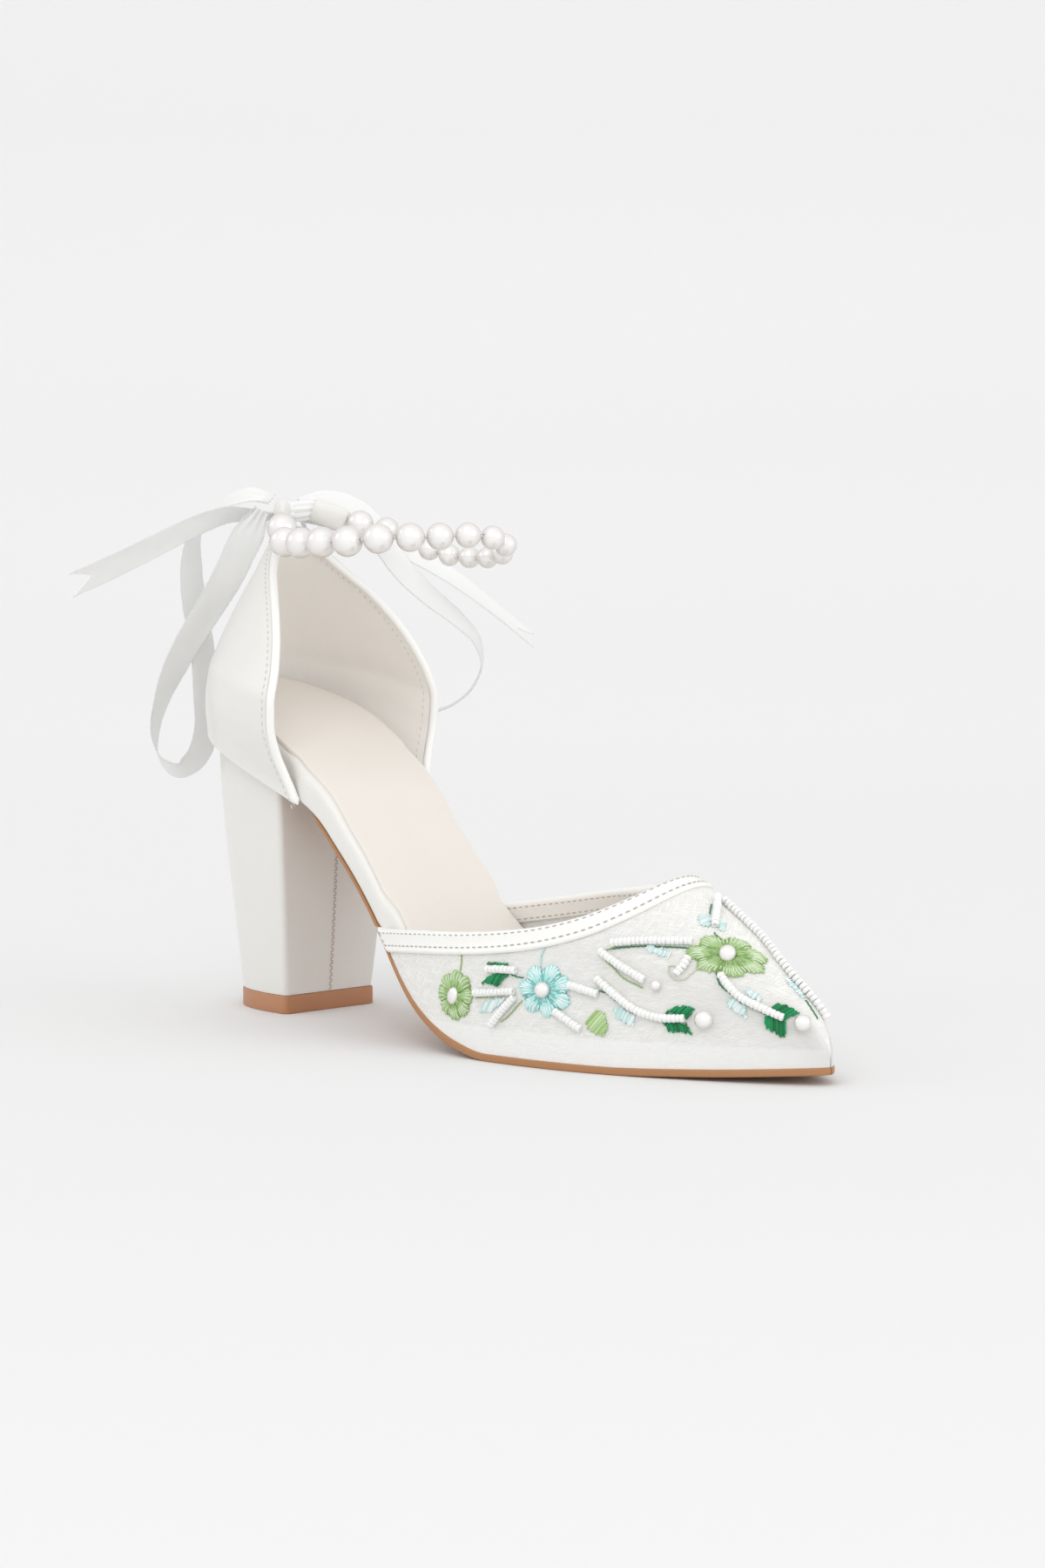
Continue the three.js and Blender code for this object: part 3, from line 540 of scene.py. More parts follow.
def ring_of(work, radius, thickness, around=8, section=4):
    """A little torus in the XY plane."""
    rows = []
    for i in range(around):
        a = 2 * math.pi * i / around
        row = []
        for k in range(section):
            b = 2 * math.pi * k / section
            r = radius + thickness * math.cos(b)
            row.append(work.verts.new((r * math.cos(a), r * math.sin(a), thickness * math.sin(b))))
        rows.append(row)
    for i in range(around):
        for k in range(section):
            n, m = (i + 1) % around, (k + 1) % section
            work.faces.new((rows[i][k], rows[n][k], rows[n][m], rows[i][m]))


picot = shape_of("picot", lambda work: ring_of(work, 0.4 * mm, 0.14 * mm))
plain(
    "ribbon_picots",
    ribbon_edges,
    repeat_along,
    "ribbon",
    Shape=picot,
    Spacing=1.05 * mm,
    Turn=0.0,
    Vary=0.15,
    Finish=satin,
)
bpy.data.objects.remove(picot)


# Outsole: a thin tan leather sole from the heel's breast to the toe, its edge
# just outside the upper and skived thin along the waist. It sets the sole's
# lines that the other pieces use.
shoe_length = 247.5
seat_back = -26
ball_width = 72
heel_rise = 90
toe_spring = 3
outsole_thickness = 2.2
heel_breast = 15.2
breast_lean = 5.2
outline = columns(
    "at outer inner",
    [
        (0, 0, 0),
        (0.012, 0.13, 0.13),
        (0.045, 0.256, 0.256),
        (0.104, 0.352, 0.35),
        (0.168, 0.379, 0.37),
        (0.232, 0.38, 0.354),
        (0.291, 0.367, 0.318),
        (0.351, 0.372, 0.3),
        (0.405, 0.405, 0.314),
        (0.463, 0.462, 0.366),
        (0.527, 0.501, 0.43),
        (0.591, 0.513, 0.477),
        (0.655, 0.493, 0.5),
        (0.719, 0.452, 0.49),
        (0.783, 0.383, 0.447),
        (0.846, 0.29, 0.373),
        (0.91, 0.181, 0.276),
        (0.958, 0.085, 0.181),
        (0.986, 0.019, 0.113),
        (0.997, -0.017, 0.066),
        (1, -0.039, 0.039),
    ],
)
underside = columns(
    "at rise spring stack",
    [
        (0, 1, 0, 16.2),
        (0.104, 0.895, 0, 15.6),
        (0.184, 0.808, 0, 13.2),
        (0.248, 0.733, 0, 10),
        (0.303, 0.592, 0, 9),
        (0.367, 0.412, 0, 9),
        (0.431, 0.233, 0, 9),
        (0.495, 0.101, 0, 8.6),
        (0.559, 0.027, 0, 7.8),
        (0.615, 0, 0, 7.4),
        (0.766, 0, 0, 7.4),
        (0.862, 0, 0.27, 7.3),
        (1, 0, 1, 7.2),
    ],
)


def along(table, column, at):
    """A table's column at any station, through a monotone cubic."""
    x, y = table["at"], table[column]
    slope = np.diff(y) / np.diff(x)
    both = slope[:-1] + slope[1:]
    inner = np.where(slope[:-1] * slope[1:] > 0, 2 * slope[:-1] * slope[1:] / np.where(both == 0, 1, both), 0)
    bend = np.concatenate([slope[:1], inner, slope[-1:]])
    i = np.clip(np.searchsorted(x, at, side="right") - 1, 0, len(x) - 2)
    step = x[i + 1] - x[i]
    t = np.clip((at - x[i]) / step, 0, 1)
    ends = y[i] * (2 * t**3 - 3 * t**2 + 1) + y[i + 1] * (3 * t**2 - 2 * t**3)
    return ends + bend[i] * step * (t**3 - 2 * t**2 + t) + bend[i + 1] * step * (t**3 - t**2)


def share(x):
    return (x - seat_back) / shoe_length


def station(at):
    return seat_back + np.asarray(at) * shoe_length


def sole_height(at):
    return along(underside, "rise", at) * heel_rise + along(underside, "spring", at) * toe_spring


def stack(at):
    return along(underside, "stack", at)


def level(x, height):
    """z at x of the line that lies a height above the underside, square to it."""
    at = np.linspace(-0.03, 1.03, 700)
    run = 0.008 * shoe_length
    fall = sole_height(at + 0.004) - sole_height(at - 0.004)
    size = np.hypot(run, fall)
    raise_by = height(at) if callable(height) else height
    return np.interp(x, station(at) - fall / size * raise_by, sole_height(at) + run / size * raise_by)


outline_points = [(station(a), -o * ball_width) for a, o in zip(outline["at"], outline["outer"])]
outline_back = list(zip(outline["at"], outline["inner"]))[-2:0:-1]
outline_points += [(station(a), i * ball_width) for a, i in outline_back]
outline_ring = spline(outline_points, 8, closed=True)
outline_way = unit(np.roll(outline_ring, -1, 0) - np.roll(outline_ring, 1, 0))
outline_in = np.stack([-outline_way[:, 1], outline_way[:, 0]], 1)


toe_key = 159  # the outline's last key before the toe tip


def slab(name, margin, low, high, corners, materials, span=(1, toe_key), crown=None, pick=None, **facts):
    """A sole layer between two levels, drawn in by a margin, with rounded edges (below, above)."""
    keys = np.arange(span[0], span[1] + 1)
    arc = np.radians(np.linspace(0, 90, 6))
    edge = [(corners[0] * (1 - math.sin(a)), low, corners[0] * (1 - math.cos(a))) for a in arc]
    edge += [(corners[1] * (1 - math.cos(a)), high, -corners[1] * (1 - math.sin(a))) for a in arc]
    sides = []
    for where in (keys, -keys % len(outline_ring)):
        drawn = margin(share(outline_ring[where, 0]))
        points = []
        for inset, base, lift in edge:
            flat = outline_ring[where] + outline_in[where] * (drawn + inset)[:, None]
            points.append(np.column_stack([flat, level(flat[:, 0], lambda at: base(at) + lift)]))
        sides.append(np.array(points))
    outer, inner = sides
    middle = (outer[:, :, 1] + inner[:, :, 1]) / 2
    outer[:, :, 1] = np.minimum(outer[:, :, 1], middle - 0.02)
    inner[:, :, 1] = np.maximum(inner[:, :, 1], middle + 0.02)
    across = np.linspace(0, 1, 26)[1:-1, None, None]
    top = outer[-1] * (1 - across) + inner[-1] * across
    under = inner[0] * (1 - across) + outer[0] * across
    top[..., 2] = level(top[..., 0], high)
    under[..., 2] = level(under[..., 0], low)
    if crown:
        top[..., 2] += crown(share(top[..., 0]), across[..., 0])
    loops = np.concatenate([outer, top, inner[::-1], under]).transpose(1, 0, 2)
    return loft(name, loops, materials, pick, **facts)


def grain_group():
    """Leather: small rounded cells under a finer noise."""
    group, entry, out = group_of(
        "grain", [("Size", "INPUT", "NodeSocketFloat", 1.0), ("Height", "OUTPUT", "NodeSocketFloat", None)]
    )
    nodes, links = group.nodes, group.links
    uv = node_of(nodes, "ShaderNodeUVMap", uv_map="surface")
    rate = node_of(nodes, "ShaderNodeMath", {0: 1}, operation="DIVIDE")
    links.new(entry.outputs["Size"], rate.inputs[1])
    cells = node_of(nodes, "ShaderNodeTexVoronoi", feature="SMOOTH_F1")
    noise = node_of(nodes, "ShaderNodeTexNoise", {"Detail": 4})
    for texture in (cells, noise):
        join(
            links,
            (uv, "UV", texture, "Vector"),
            (rate, 0, texture, "Scale"),
        )
    blend = node_of(nodes, "ShaderNodeMath", operation="ADD")
    join(
        links,
        (cells, "Distance", blend, 0),
        (noise, "Fac", blend, 1),
        (blend, 0, out, "Height"),
    )
    return group


grain = grain_group()
tan = material_of("sole leather", (0.42, 0.2, 0.085), 0.5)
relief(tan, grain, 0.35, 0.0001, Size=0.8)
breast_line = heel_breast + breast_lean + 1.8
sole_start = int(np.argmax((outline_ring[:, 0] > breast_line)[: toe_key + 1]))
outsole_shape = columns(
    "at in thick",
    [
        (0, 2.4, 0.7),
        (0.245, 2.4, 0.7),
        (0.27, 0.3, 0.8),
        (0.36, 0.1, 1),
        (0.44, 0, 1.7),
        (0.54, 0, 2.2),
        (1, 0, 2.2),
    ],
)
slab(
    "outsole_leather",
    lambda at: along(outsole_shape, "in", at),
    lambda at: at * 0,
    lambda at: along(outsole_shape, "thick", at),
    (0.5, 0.5),
    [tan],
    span=(sole_start, toe_key),
    replaces=["outsole"],
    slot="sole_leather",
)

# Footbed: the stiff insole board, wrapped in pearl leather, which shows
# as a rounded edge along the open waist. It narrows inside the upper.
pearl_leather = material_of(
    "pearl leather", (0.8, 0.79, 0.755), 0.3, Coat_Weight=0.35, Coat_Roughness=0.22, Sheen_Weight=0.1
)
relief(pearl_leather, grain, 0.3, 0.00012, Size=0.9)
footbed_margin = columns("at in", [(0, 2.6), (0.2, 2.6), (0.245, 0.5), (0.385, 0.5), (0.41, 3.4), (1, 3.2)])
sock_thickness = 1.2
slab(
    "footbed_wrapped",
    lambda at: along(footbed_margin, "in", at),
    lambda at: along(outsole_shape, "thick", at) + 0.05,
    lambda at: stack(at) - sock_thickness + 0.3,
    (1.2, 2.4),
    [pearl_leather],
    replaces=["footbed"],
    slot="leather",
)

# Sock lining: a soft cream cover on the footbed, slightly padded, with its edge
# set in from the footbed's. Its stamp is left bare.
cream = material_of(
    "sock leather", (0.8, 0.75, 0.69), 0.34, Coat_Weight=0.3, Coat_Roughness=0.25
)
relief(cream, grain, 0.25, 0.0001, Size=0.7)
sock_margin = columns("at in", [(0, 0.6), (0.2, 0.6), (0.23, 2.6), (0.28, 2.4), (0.33, 2), (1, 1.6)])


def sock_crown(at, u):
    """Padding: full in the middle of the seat and the waist, with a soft dip under the arch."""
    hill = np.sin(math.pi * u) ** 0.75
    dip = 0.5 * np.exp(-(((u - 0.58) / 0.16) ** 2)) * np.exp(-(((at - 0.33) / 0.13) ** 2))
    return 0.8 * hill - dip


sock = slab(
    "sock_lining_padded",
    lambda at: along(footbed_margin, "in", at) + along(sock_margin, "in", at),
    lambda at: stack(at) - sock_thickness,
    lambda at: stack(at) + 0.1,
    (0.1, 0.6),
    [cream],
    crown=sock_crown,
    replaces=["sock_lining"],
    slot="sock",
)

# Heel: a D-shaped block covered in pearl leather, with a flat breast, standing
# on a tan rubber top piece that is a touch larger.
heel_tip_depth = 33.6
heel_tip_half = 18.4
heel_top_half = 25.2
top_piece = 5.8
heel_fullness = 2.55
heel_corner = 1.8
heel_rows = columns(
    "at widen depth lean",
    [(0, 0, 1, 0), (0.35, 0.34, 1.16, 0.4), (0.7, 0.72, 1.3, 0.75), (1, 1, 1.38, 1), (1.35, 1.1, 1.42, 1.4)],
)


def heel_ring(up, grow=0.0, inset=0.0):
    """The heel's outline at a share of its height: round at the back, flat in front."""
    breast = heel_breast + along(heel_rows, "lean", up) * breast_lean + grow - inset
    half = heel_tip_half + along(heel_rows, "widen", up) * (heel_top_half - heel_tip_half) + grow - inset
    depth = along(heel_rows, "depth", up) * heel_tip_depth + grow - inset - inset
    points = []
    for a in np.radians(np.linspace(0, 180, 61)):
        swing = math.cos(a)
        side = math.copysign(abs(swing) ** (2 / heel_fullness), swing)
        back = (depth - heel_corner) * math.sin(a) ** (2 / heel_fullness)
        points.append((breast - heel_corner - back, -half * side))
    corner = np.radians(np.linspace(90, 0, 7))[1:]
    for a in corner:
        points.append((breast - heel_corner * (1 - math.cos(a)), half - heel_corner * (1 - math.sin(a))))
    for y in np.linspace(half - heel_corner, -half + heel_corner, 22)[1:-1]:
        points.append((breast, y))
    for a in corner[::-1]:
        points.append((breast - heel_corner * (1 - math.cos(a)), -half + heel_corner * (1 - math.sin(a))))
    return np.array(points)


heel_span = heel_rise * 0.8
heel_foot = top_piece + 0.1
heel_loops = []
ups = np.linspace(0, 1.35, 200)
rings = np.array([heel_ring(up) for up in ups])
heights = heel_foot + ups * heel_span
over = heights[:, None] - level(rings[:, :, 0], outsole_thickness)
top_up = np.array([np.interp(0, over[:, c], ups) for c in range(rings.shape[1])])
for f in np.linspace(0, 1, 60):
    row = []
    for c, limit in enumerate(top_up):
        up = f * limit
        x, y = (np.interp(up, ups, rings[:, c, k]) for k in (0, 1))
        tuck = 0.35 * max(0, 1 - f * 60 / 1.5)
        row.append((x * (1 - tuck * 0.01), y * (1 - tuck * 0.02), heel_foot + up * heel_span))
    heel_loops.append(row)
loft("heel_block_covered", heel_loops, [pearl_leather], replaces=["heel_block"], slot="leather")

lift_rubber = material_of("lift rubber", (0.47, 0.22, 0.11), 0.45)
relief(lift_rubber, grain, 0.2, 0.0001, Size=0.5)
lift_loops = []
lift_edge = ((0.5, 0), (0.12, 0.12), (0, 0.5))
lift_section = [*lift_edge, *((inset, top_piece - z) for inset, z in lift_edge[::-1])]
for inset, z in lift_section:
    flat = heel_ring(0, 0.35, inset)
    lift_loops.append([(x, y, z) for x, y in flat])
loft(
    "heel_top_piece_rubber", lift_loops, [lift_rubber], replaces=["heel_top_piece"], slot="rubber_lift"
)

# Vamp: one mesh wall over the forefoot, from the topline to the sole. Every
# line of it runs from the topline to the toe tip at one turn round the last.
throat_height = 54.3
instep_height = 75
edge_margin = 0.5
vamp_wall = 1.4
instep = columns(
    "at ridge fullness",
    [
        (0.34, 1, 2.5),
        (0.53, 0.88, 2.4),
        (0.69, 0.775, 2.2),
        (0.786, 0.692, 2.05),
        (0.846, 0.595, 2),
        (0.91, 0.465, 2),
        (0.958, 0.325, 2.1),
        (0.984, 0.22, 2.3),
        (1, 0.12, 2.6),
    ],
)
topline = columns(
    "at outer inner",
    [
        (0.34, 0.588, 0.655),
        (0.4, 0.608, 0.7),
        (0.485, 0.644, 0.765),
        (0.575, 0.672, 0.84),
        (0.65, 0.703, 0.895),
        (0.71, 0.755, 0.95),
        (0.75, 0.83, 0.995),
        (0.778, 0.92, 1.045),
        (0.79, 0.99, 1.11),
        (0.83, 1.3, 1.4),
    ],
)


def last(at, turn):
    """A point on the last; turn goes from 0 at the outer feather edge to 1 at the inner."""
    at, turn = np.broadcast_arrays(np.asarray(at, float), np.asarray(turn, float))
    x = station(at)
    outer, inner = along(outline, "outer", at) * ball_width, along(outline, "inner", at) * ball_width
    half = np.maximum((inner + outer) / 2 - edge_margin, 0.3)
    foot = sole_height(at)
    crest = along(instep, "ridge", at) * instep_height - foot
    bend = 2 / along(instep, "fullness", at)
    start = np.arcsin((outsole_thickness / crest) ** (1 / bend))
    angle = start + np.clip(turn, 0, 1) * (math.pi - 2 * start)
    swing = np.cos(angle)
    y = (inner - outer) / 2 - np.sign(swing) * np.abs(swing) ** bend * half
    return np.stack([x, y, foot + crest * np.sin(angle) ** bend], -1)


def last_frame(at, turn):
    """On the last: the spot, the way to the toe, the way up over it, and outwards."""
    spot = last(at, turn)
    step = 0.002
    turn = np.clip(turn, step, 1 - step)
    ahead = unit(last(at + step, turn) - last(at - step, turn))
    over = last(at, turn + step) - last(at, turn - step)
    out = unit(np.cross(ahead, over))
    return spot, ahead, np.cross(out, ahead), out


def topline_gap(at, turn):
    """How far a point of the last is above the topline."""
    outer, inner = along(topline, "outer", at) * throat_height, along(topline, "inner", at) * throat_height
    spot = last(at, turn)
    return spot[..., 2] - (outer + inner) / 2 - (inner - outer) / ball_width * 1.1 * spot[..., 1]


def topline_at(turn, drop=0.0):
    """Where the line at a turn comes out at the topline."""
    low, high = np.full(np.shape(turn), 0.335), np.full(np.shape(turn), 0.9)
    for _ in range(40):
        middle = (low + high) / 2
        above = topline_gap(middle, turn) > -drop
        low, high = np.where(above, middle, low), np.where(above, high, middle)
    return low


def slide(at, turn, ahead_by, over_by, steps=4):
    """Walks on the last by distances to the toe and up over it, and returns (at, turn)."""
    at, turn = np.broadcast_arrays(np.asarray(at, float), np.asarray(turn, float))
    at, turn = at.copy(), turn.copy()
    for _ in range(steps):
        spot, ahead, over, out = last_frame(at, turn)
        e = 0.001
        by_at = (last(at + e, turn) - last(at - e, turn)) / (2 * e)
        by_turn = (last(at, turn + e) - last(at, turn - e)) / (2 * e)
        a, b = (by_at * ahead).sum(-1), np.maximum((by_turn * over).sum(-1), 1)
        c = (by_turn * ahead).sum(-1)
        turn_step = over_by / steps / b
        at = at + (ahead_by / steps - c * turn_step) / a
        turn = np.clip(turn + turn_step, 0, 1)
    return at, turn


mesh_cloth = material_of(
    "mesh cloth", (0.8, 0.785, 0.74), 0.75, Sheen_Weight=0.35, Sheen_Roughness=0.5
)


def linen_group():
    """Sheer plain weave: fine threads both ways and thicker slubs along them."""
    group, entry, out = group_of(
        "linen",
        [
            ("Pitch", "INPUT", "NodeSocketFloat", 0.5),
            ("Height", "OUTPUT", "NodeSocketFloat", None),
            ("Slubs", "OUTPUT", "NodeSocketFloat", None),
        ],
    )
    nodes, links = group.nodes, group.links
    uv = node_of(nodes, "ShaderNodeUVMap", uv_map="surface")
    turned = nodes.new("ShaderNodeMapping")
    turned.inputs["Rotation"].default_value[2] = math.radians(42)
    links.new(uv.outputs["UV"], turned.inputs["Vector"])
    sums = []
    for stretch in ((1, 0.09, 1), (0.09, 1, 1)):
        spread = node_of(nodes, "ShaderNodeVectorMath", {1: stretch}, operation="MULTIPLY")
        scaled = node_of(nodes, "ShaderNodeVectorMath", operation="DIVIDE")
        pitch = nodes.new("ShaderNodeCombineXYZ")
        for axis in ("X", "Y", "Z"):
            links.new(entry.outputs["Pitch"], pitch.inputs[axis])
        join(
            links,
            (turned, "Vector", spread, 0),
            (spread, "Vector", scaled, 0),
            (pitch, "Vector", scaled, 1),
        )
        fine = node_of(nodes, "ShaderNodeTexNoise", {"Scale": 1.0, "Detail": 2})
        slub = node_of(nodes, "ShaderNodeTexNoise", {"Scale": 0.55, "Detail": 3})
        for texture in (fine, slub):
            links.new(scaled.outputs["Vector"], texture.inputs["Vector"])
        sums.append((fine, slub))
    for k, name in ((0, "Height"), (1, "Slubs")):
        blend = node_of(nodes, "ShaderNodeMath", operation="MAXIMUM" if k else "ADD")
        join(
            links,
            (sums[0][k], "Fac", blend, 0),
            (sums[1][k], "Fac", blend, 1),
            (blend, 0, out, name),
        )
    return group


linen = linen_group()
weave = relief(mesh_cloth, linen, 0.6, 0.0003, Pitch=0.26)
mesh_nodes, mesh_links, mesh_shader = tree_of(mesh_cloth)
weave_tone = node_of(
    mesh_nodes, "ShaderNodeMix", {"A": (0.79, 0.78, 0.745, 1), "B": (0.97, 0.97, 0.95, 1)}, data_type="RGBA"
)
weave_range = node_of(mesh_nodes, "ShaderNodeMapRange", {"From Min": 0.45, "From Max": 0.75})
backing = node_of(mesh_nodes, "ShaderNodeMix", {"B": (0.91, 0.91, 0.895, 1)}, data_type="RGBA")
backing_place = mesh_nodes.new("ShaderNodeTexCoord")
backing_axes = mesh_nodes.new("ShaderNodeSeparateXYZ")
backing_edge = node_of(
    mesh_nodes, "ShaderNodeMapRange", {"From Min": 0.0102, "From Max": 0.0094, "To Max": 0.8}
)
join(
    mesh_links,
    (backing_place, "Object", backing_axes, 0),
    (backing_axes, "Z", backing_edge, "Value"),
    (weave, "Slubs", weave_range, "Value"),
    (weave_range, "Result", weave_tone, "Factor"),
    (backing_edge, "Result", backing, "Factor"),
    (weave_tone, "Result", backing, "A"),
    (backing, "Result", mesh_shader, "Base Color"),
)
wraps = np.linspace(0, 1, 141)
wraps = 0.3 * (0.5 - 0.5 * np.cos(wraps * math.pi)) + 0.7 * wraps
vamp_tuck, vamp_end = 1.2, 0.9992
starts = topline_at(wraps, vamp_tuck)
vamp_rows = [starts + (vamp_end - starts) * (1 - (1 - f) ** 1.25) for f in np.linspace(0, 1, 110)]
vamp_out, vamp_in = [], []
for row in vamp_rows:
    spot, ahead, over, out = last_frame(row, wraps)
    vamp_out.append(spot)
    vamp_in.append(spot - out * vamp_wall * np.clip((vamp_end - row[:, None]) / 0.02, 0.15, 1))
shell("vamp_mesh", vamp_out, vamp_in, [mesh_cloth], replaces=["vamp"], slot="mesh")

# Topline binding: a leather band folded over the vamp's edge, a little thicker
# at its lower lip, with a beige lining on the inside.
binding_width = 6.9
lining = material_of("lining leather", (0.92, 0.885, 0.84), 0.55)
relief(lining, grain, 0.35, 0.00012, Size=0.8)
band_leather = material_of(
    "band leather", (0.92, 0.915, 0.885), 0.28, Coat_Weight=0.4, Coat_Roughness=0.2
)
relief(band_leather, grain, 0.2, 0.0001, Size=0.9)
edge_turns = np.linspace(0, 1, 181)
edge_at = topline_at(edge_turns)
edge_spot, edge_ahead, edge_over, edge_out = last_frame(edge_at, edge_turns)
edge_way = unit(np.gradient(edge_spot, axis=0))
edge_down = np.cross(edge_out, edge_way)
edge_down = unit(edge_down * np.sign((edge_down * edge_ahead).sum(-1, keepdims=True)))


def below_topline(down):
    """The last's surface at a distance down from the topline: spot and outwards, for each edge turn."""
    ahead_by, over_by = (down * (edge_down * way).sum(-1) for way in (edge_ahead, edge_over))
    at, turn = slide(edge_at, edge_turns, ahead_by, over_by)
    spot, ahead, over, out = last_frame(at, turn)
    return spot, out


binding_section = [
    (binding_width, 0.05),
    (binding_width + 0.2, 0.55),
    (binding_width - 0.1, 1.0),
    (binding_width - 0.7, 1.12),
    (binding_width - 1.3, 0.95),
    (binding_width - 1.6, 0.68),
    (4.2, 0.82),
    (2.9, 0.68),
    (2.3, 0.88),
    (1.5, 0.86),
    (0.7, 0.5),
    (0.35, -0.3),
    (0.4, -1.3),
    (0.8, -1.9),
    (1.5, -2.2),
    (3, -2.2),
    (5, -2.2),
    (binding_width - 0.4, -2.15),
    (binding_width, -1.6),
    (binding_width - 0.3, -0.9),
]
binding_rings = []
for down, lift in binding_section:
    spot, out = below_topline(down)
    binding_rings.append(spot + out * lift)
loft(
    "topline_binding_folded",
    np.transpose(np.array(binding_rings), (1, 0, 2)),
    [band_leather, lining],
    pick=lambda r, c: 1 if 13 <= c <= 17 else 0,
    replaces=["topline_binding"],
    slot="leather",
)

# Binding stitches: two rows of short thread stitches on the band's face and two
# on its lining, a stitch every 2.3 mm.
stitch_length, stitch_step = 1.45, 2.3
# The thread is coloured darker than it is, as painted shade of the holes between the stitches.
seam_thread_with_painted_shade = material_of("seam thread", (0.5, 0.47, 0.42), 0.6)


def dash(work):
    """A stitch: a flattened drop of thread along X."""
    bmesh.ops.create_icosphere(work, subdivisions=2, radius=0.5 * mm)
    for vertex in work.verts:
        vertex.co.x *= stitch_length
        vertex.co.y *= 0.36
        vertex.co.z *= 0.4


def sew(name, lines, turn=0.0, finish=None, step=stitch_step):
    """Rows of stitches along lines of (points, facing) in mm."""
    shape = shape_of("stitch", dash)
    finish = finish or seam_thread_with_painted_shade
    made = plain(
        name,
        lines,
        repeat_along,
        "leather",
        Shape=shape,
        Spacing=step * mm,
        Turn=turn,
        Vary=0.08,
        Finish=finish,
    )
    bpy.data.objects.remove(shape)
    return made


seams = []
for down, lift, facing in ((1.6, 0.95, 1), (5.1, 0.86, 1), (1.9, -2.26, -1), (5.6, -2.26, -1)):
    spot, out = below_topline(down)
    seams.append((spot + out * lift, out * facing))
sew("binding_stitches", seams)

# Heel seam: the cover's edges meet down the middle of the breast, joined by a
# zigzag of thread.
seam_ups = np.linspace(0.01, 1.0, 60)
breast_x = heel_breast + along(heel_rows, "lean", seam_ups) * breast_lean
seam_height = heel_foot + seam_ups * heel_span
seam_line = np.column_stack([breast_x + 0.12, seam_ups * 0, seam_height])
seam_line = seam_line[seam_height < level(breast_x, 0) - 0.8]
cover_thread = material_of("cover thread", (0.52, 0.44, 0.36), 0.6)
sew("heel_seam_stitches", [(seam_line, np.array([1.0, 0, 0]))], turn=1.0, finish=cover_thread, step=1.0)

# Quarter: the tall leather wall round the heel, lined in beige. It swells from
# the seat, and narrows at the back to the piped top under the bow.
quarter_top = 152
quarter_depth = 61.4
quarter_half = 35
quarter_wall = 1.9
quarter_top_row = 12
quarter_rows = columns(
    "at front_x half front_z back_x back_z fullness belly",
    [
        (-1, 0.96, 0.815, 0.368, 0.012, 0.503, 3, 2.4),
        (0, 0.96, 0.815, 0.428, 0.012, 0.563, 3, 2.4),
        (1, 0.91, 0.825, 0.468, 0.004, 0.592, 2.9, 2.4),
        (2, 0.875, 0.87, 0.508, 0, 0.62, 2.75, 2),
        (3, 0.855, 0.935, 0.55, -0.006, 0.65, 2.6, 1.2),
        (4, 0.848, 0.99, 0.6, -0.008, 0.688, 2.45, 0.4),
        (5, 0.853, 1, 0.65, 0, 0.728, 2.35, 0),
        (6, 0.838, 0.935, 0.703, 0.025, 0.768, 2.25, 0),
        (7, 0.788, 0.835, 0.762, 0.065, 0.812, 2.15, 0),
        (8, 0.71, 0.725, 0.818, 0.11, 0.855, 2, 0),
        (9, 0.612, 0.6, 0.87, 0.16, 0.895, 1.85, 0),
        (10, 0.5, 0.445, 0.918, 0.215, 0.932, 1.75, 0),
        (11, 0.42, 0.29, 0.96, 0.25, 0.966, 1.75, 0),
        (12, 0.395, 0.17, 0.992, 0.275, 0.996, 1.9, 0),
    ],
)


def quarter_spot(row, turn, margin=0.0):
    """A point of the quarter: row up from the seat, turn round from the outer side, margin inwards."""
    row, turn = np.broadcast_arrays(np.asarray(row, float), np.asarray(turn, float))
    front_x, back_x, front_z, back_z, half, fullness, belly = (
        along(quarter_rows, name, row)
        for name in ("front_x", "back_x", "front_z", "back_z", "half", "fullness", "belly")
    )
    deep = np.sin(turn * math.pi) ** (2 / fullness)
    swing = np.cos(turn * math.pi)
    side = np.sign(swing) * np.abs(swing) ** (2 / fullness)
    front, back = seat_back + front_x * quarter_depth, seat_back + back_x * quarter_depth + margin
    x = front + (back - front) * deep
    y = -(half * quarter_half - margin) * side - belly * np.sin(2 * math.pi * turn)
    return np.stack([x, y, (front_z + (back_z - front_z) * deep) * quarter_top], -1)


quarter_turns = np.linspace(0, 1, 97)
low, high = np.full(len(quarter_turns), -1.0), np.full(len(quarter_turns), 3.0)
for _ in range(40):
    middle = (low + high) / 2
    spot = quarter_spot(middle, quarter_turns)
    under = spot[:, 2] < level(spot[:, 0], 0.3)
    low, high = np.where(under, middle, low), np.where(under, high, middle)
quarter_feather = low
quarter_levels = [low + (quarter_top_row - low) * f for f in np.linspace(0, 1, 90)]
quarter_out = np.array([quarter_spot(row, quarter_turns) for row in quarter_levels])
quarter_in = np.array([quarter_spot(row, quarter_turns, quarter_wall) for row in quarter_levels])
shell(
    "quarter_lined",
    quarter_out,
    quarter_in,
    [pearl_leather, lining],
    pick=lambda side: 1 if side == "back" else 0,
    replaces=["quarter"],
    slot="leather",
)

# Quarter piping: a round leather cord sewn to the quarter's free edge, up one
# side, over the top and down the other.
piping_diameter = 2.6


def tube(name, line, radius, materials, sides=16, **facts):
    """A round tube along a line, with rounded ends."""
    line = np.array(line, float)
    way = unit(np.gradient(line, axis=0))
    side = unit(np.cross(way[0], (0.3, 0.2, 1)))
    loops = []
    angles = np.linspace(0, 2 * math.pi, sides, endpoint=False)
    gone = reach(line)
    for i, spot in enumerate(line):
        side = unit(side - way[i] * (side @ way[i]))
        other = np.cross(way[i], side)
        near = min(gone[i], gone[-1] - gone[i])
        size = radius * math.sqrt(max(1 - (1 - min(near / radius, 1)) ** 2, 0.02))
        loops.append([spot + size * (side * math.cos(a) + other * math.sin(a)) for a in angles])
    return loft(name, loops, materials, **facts)


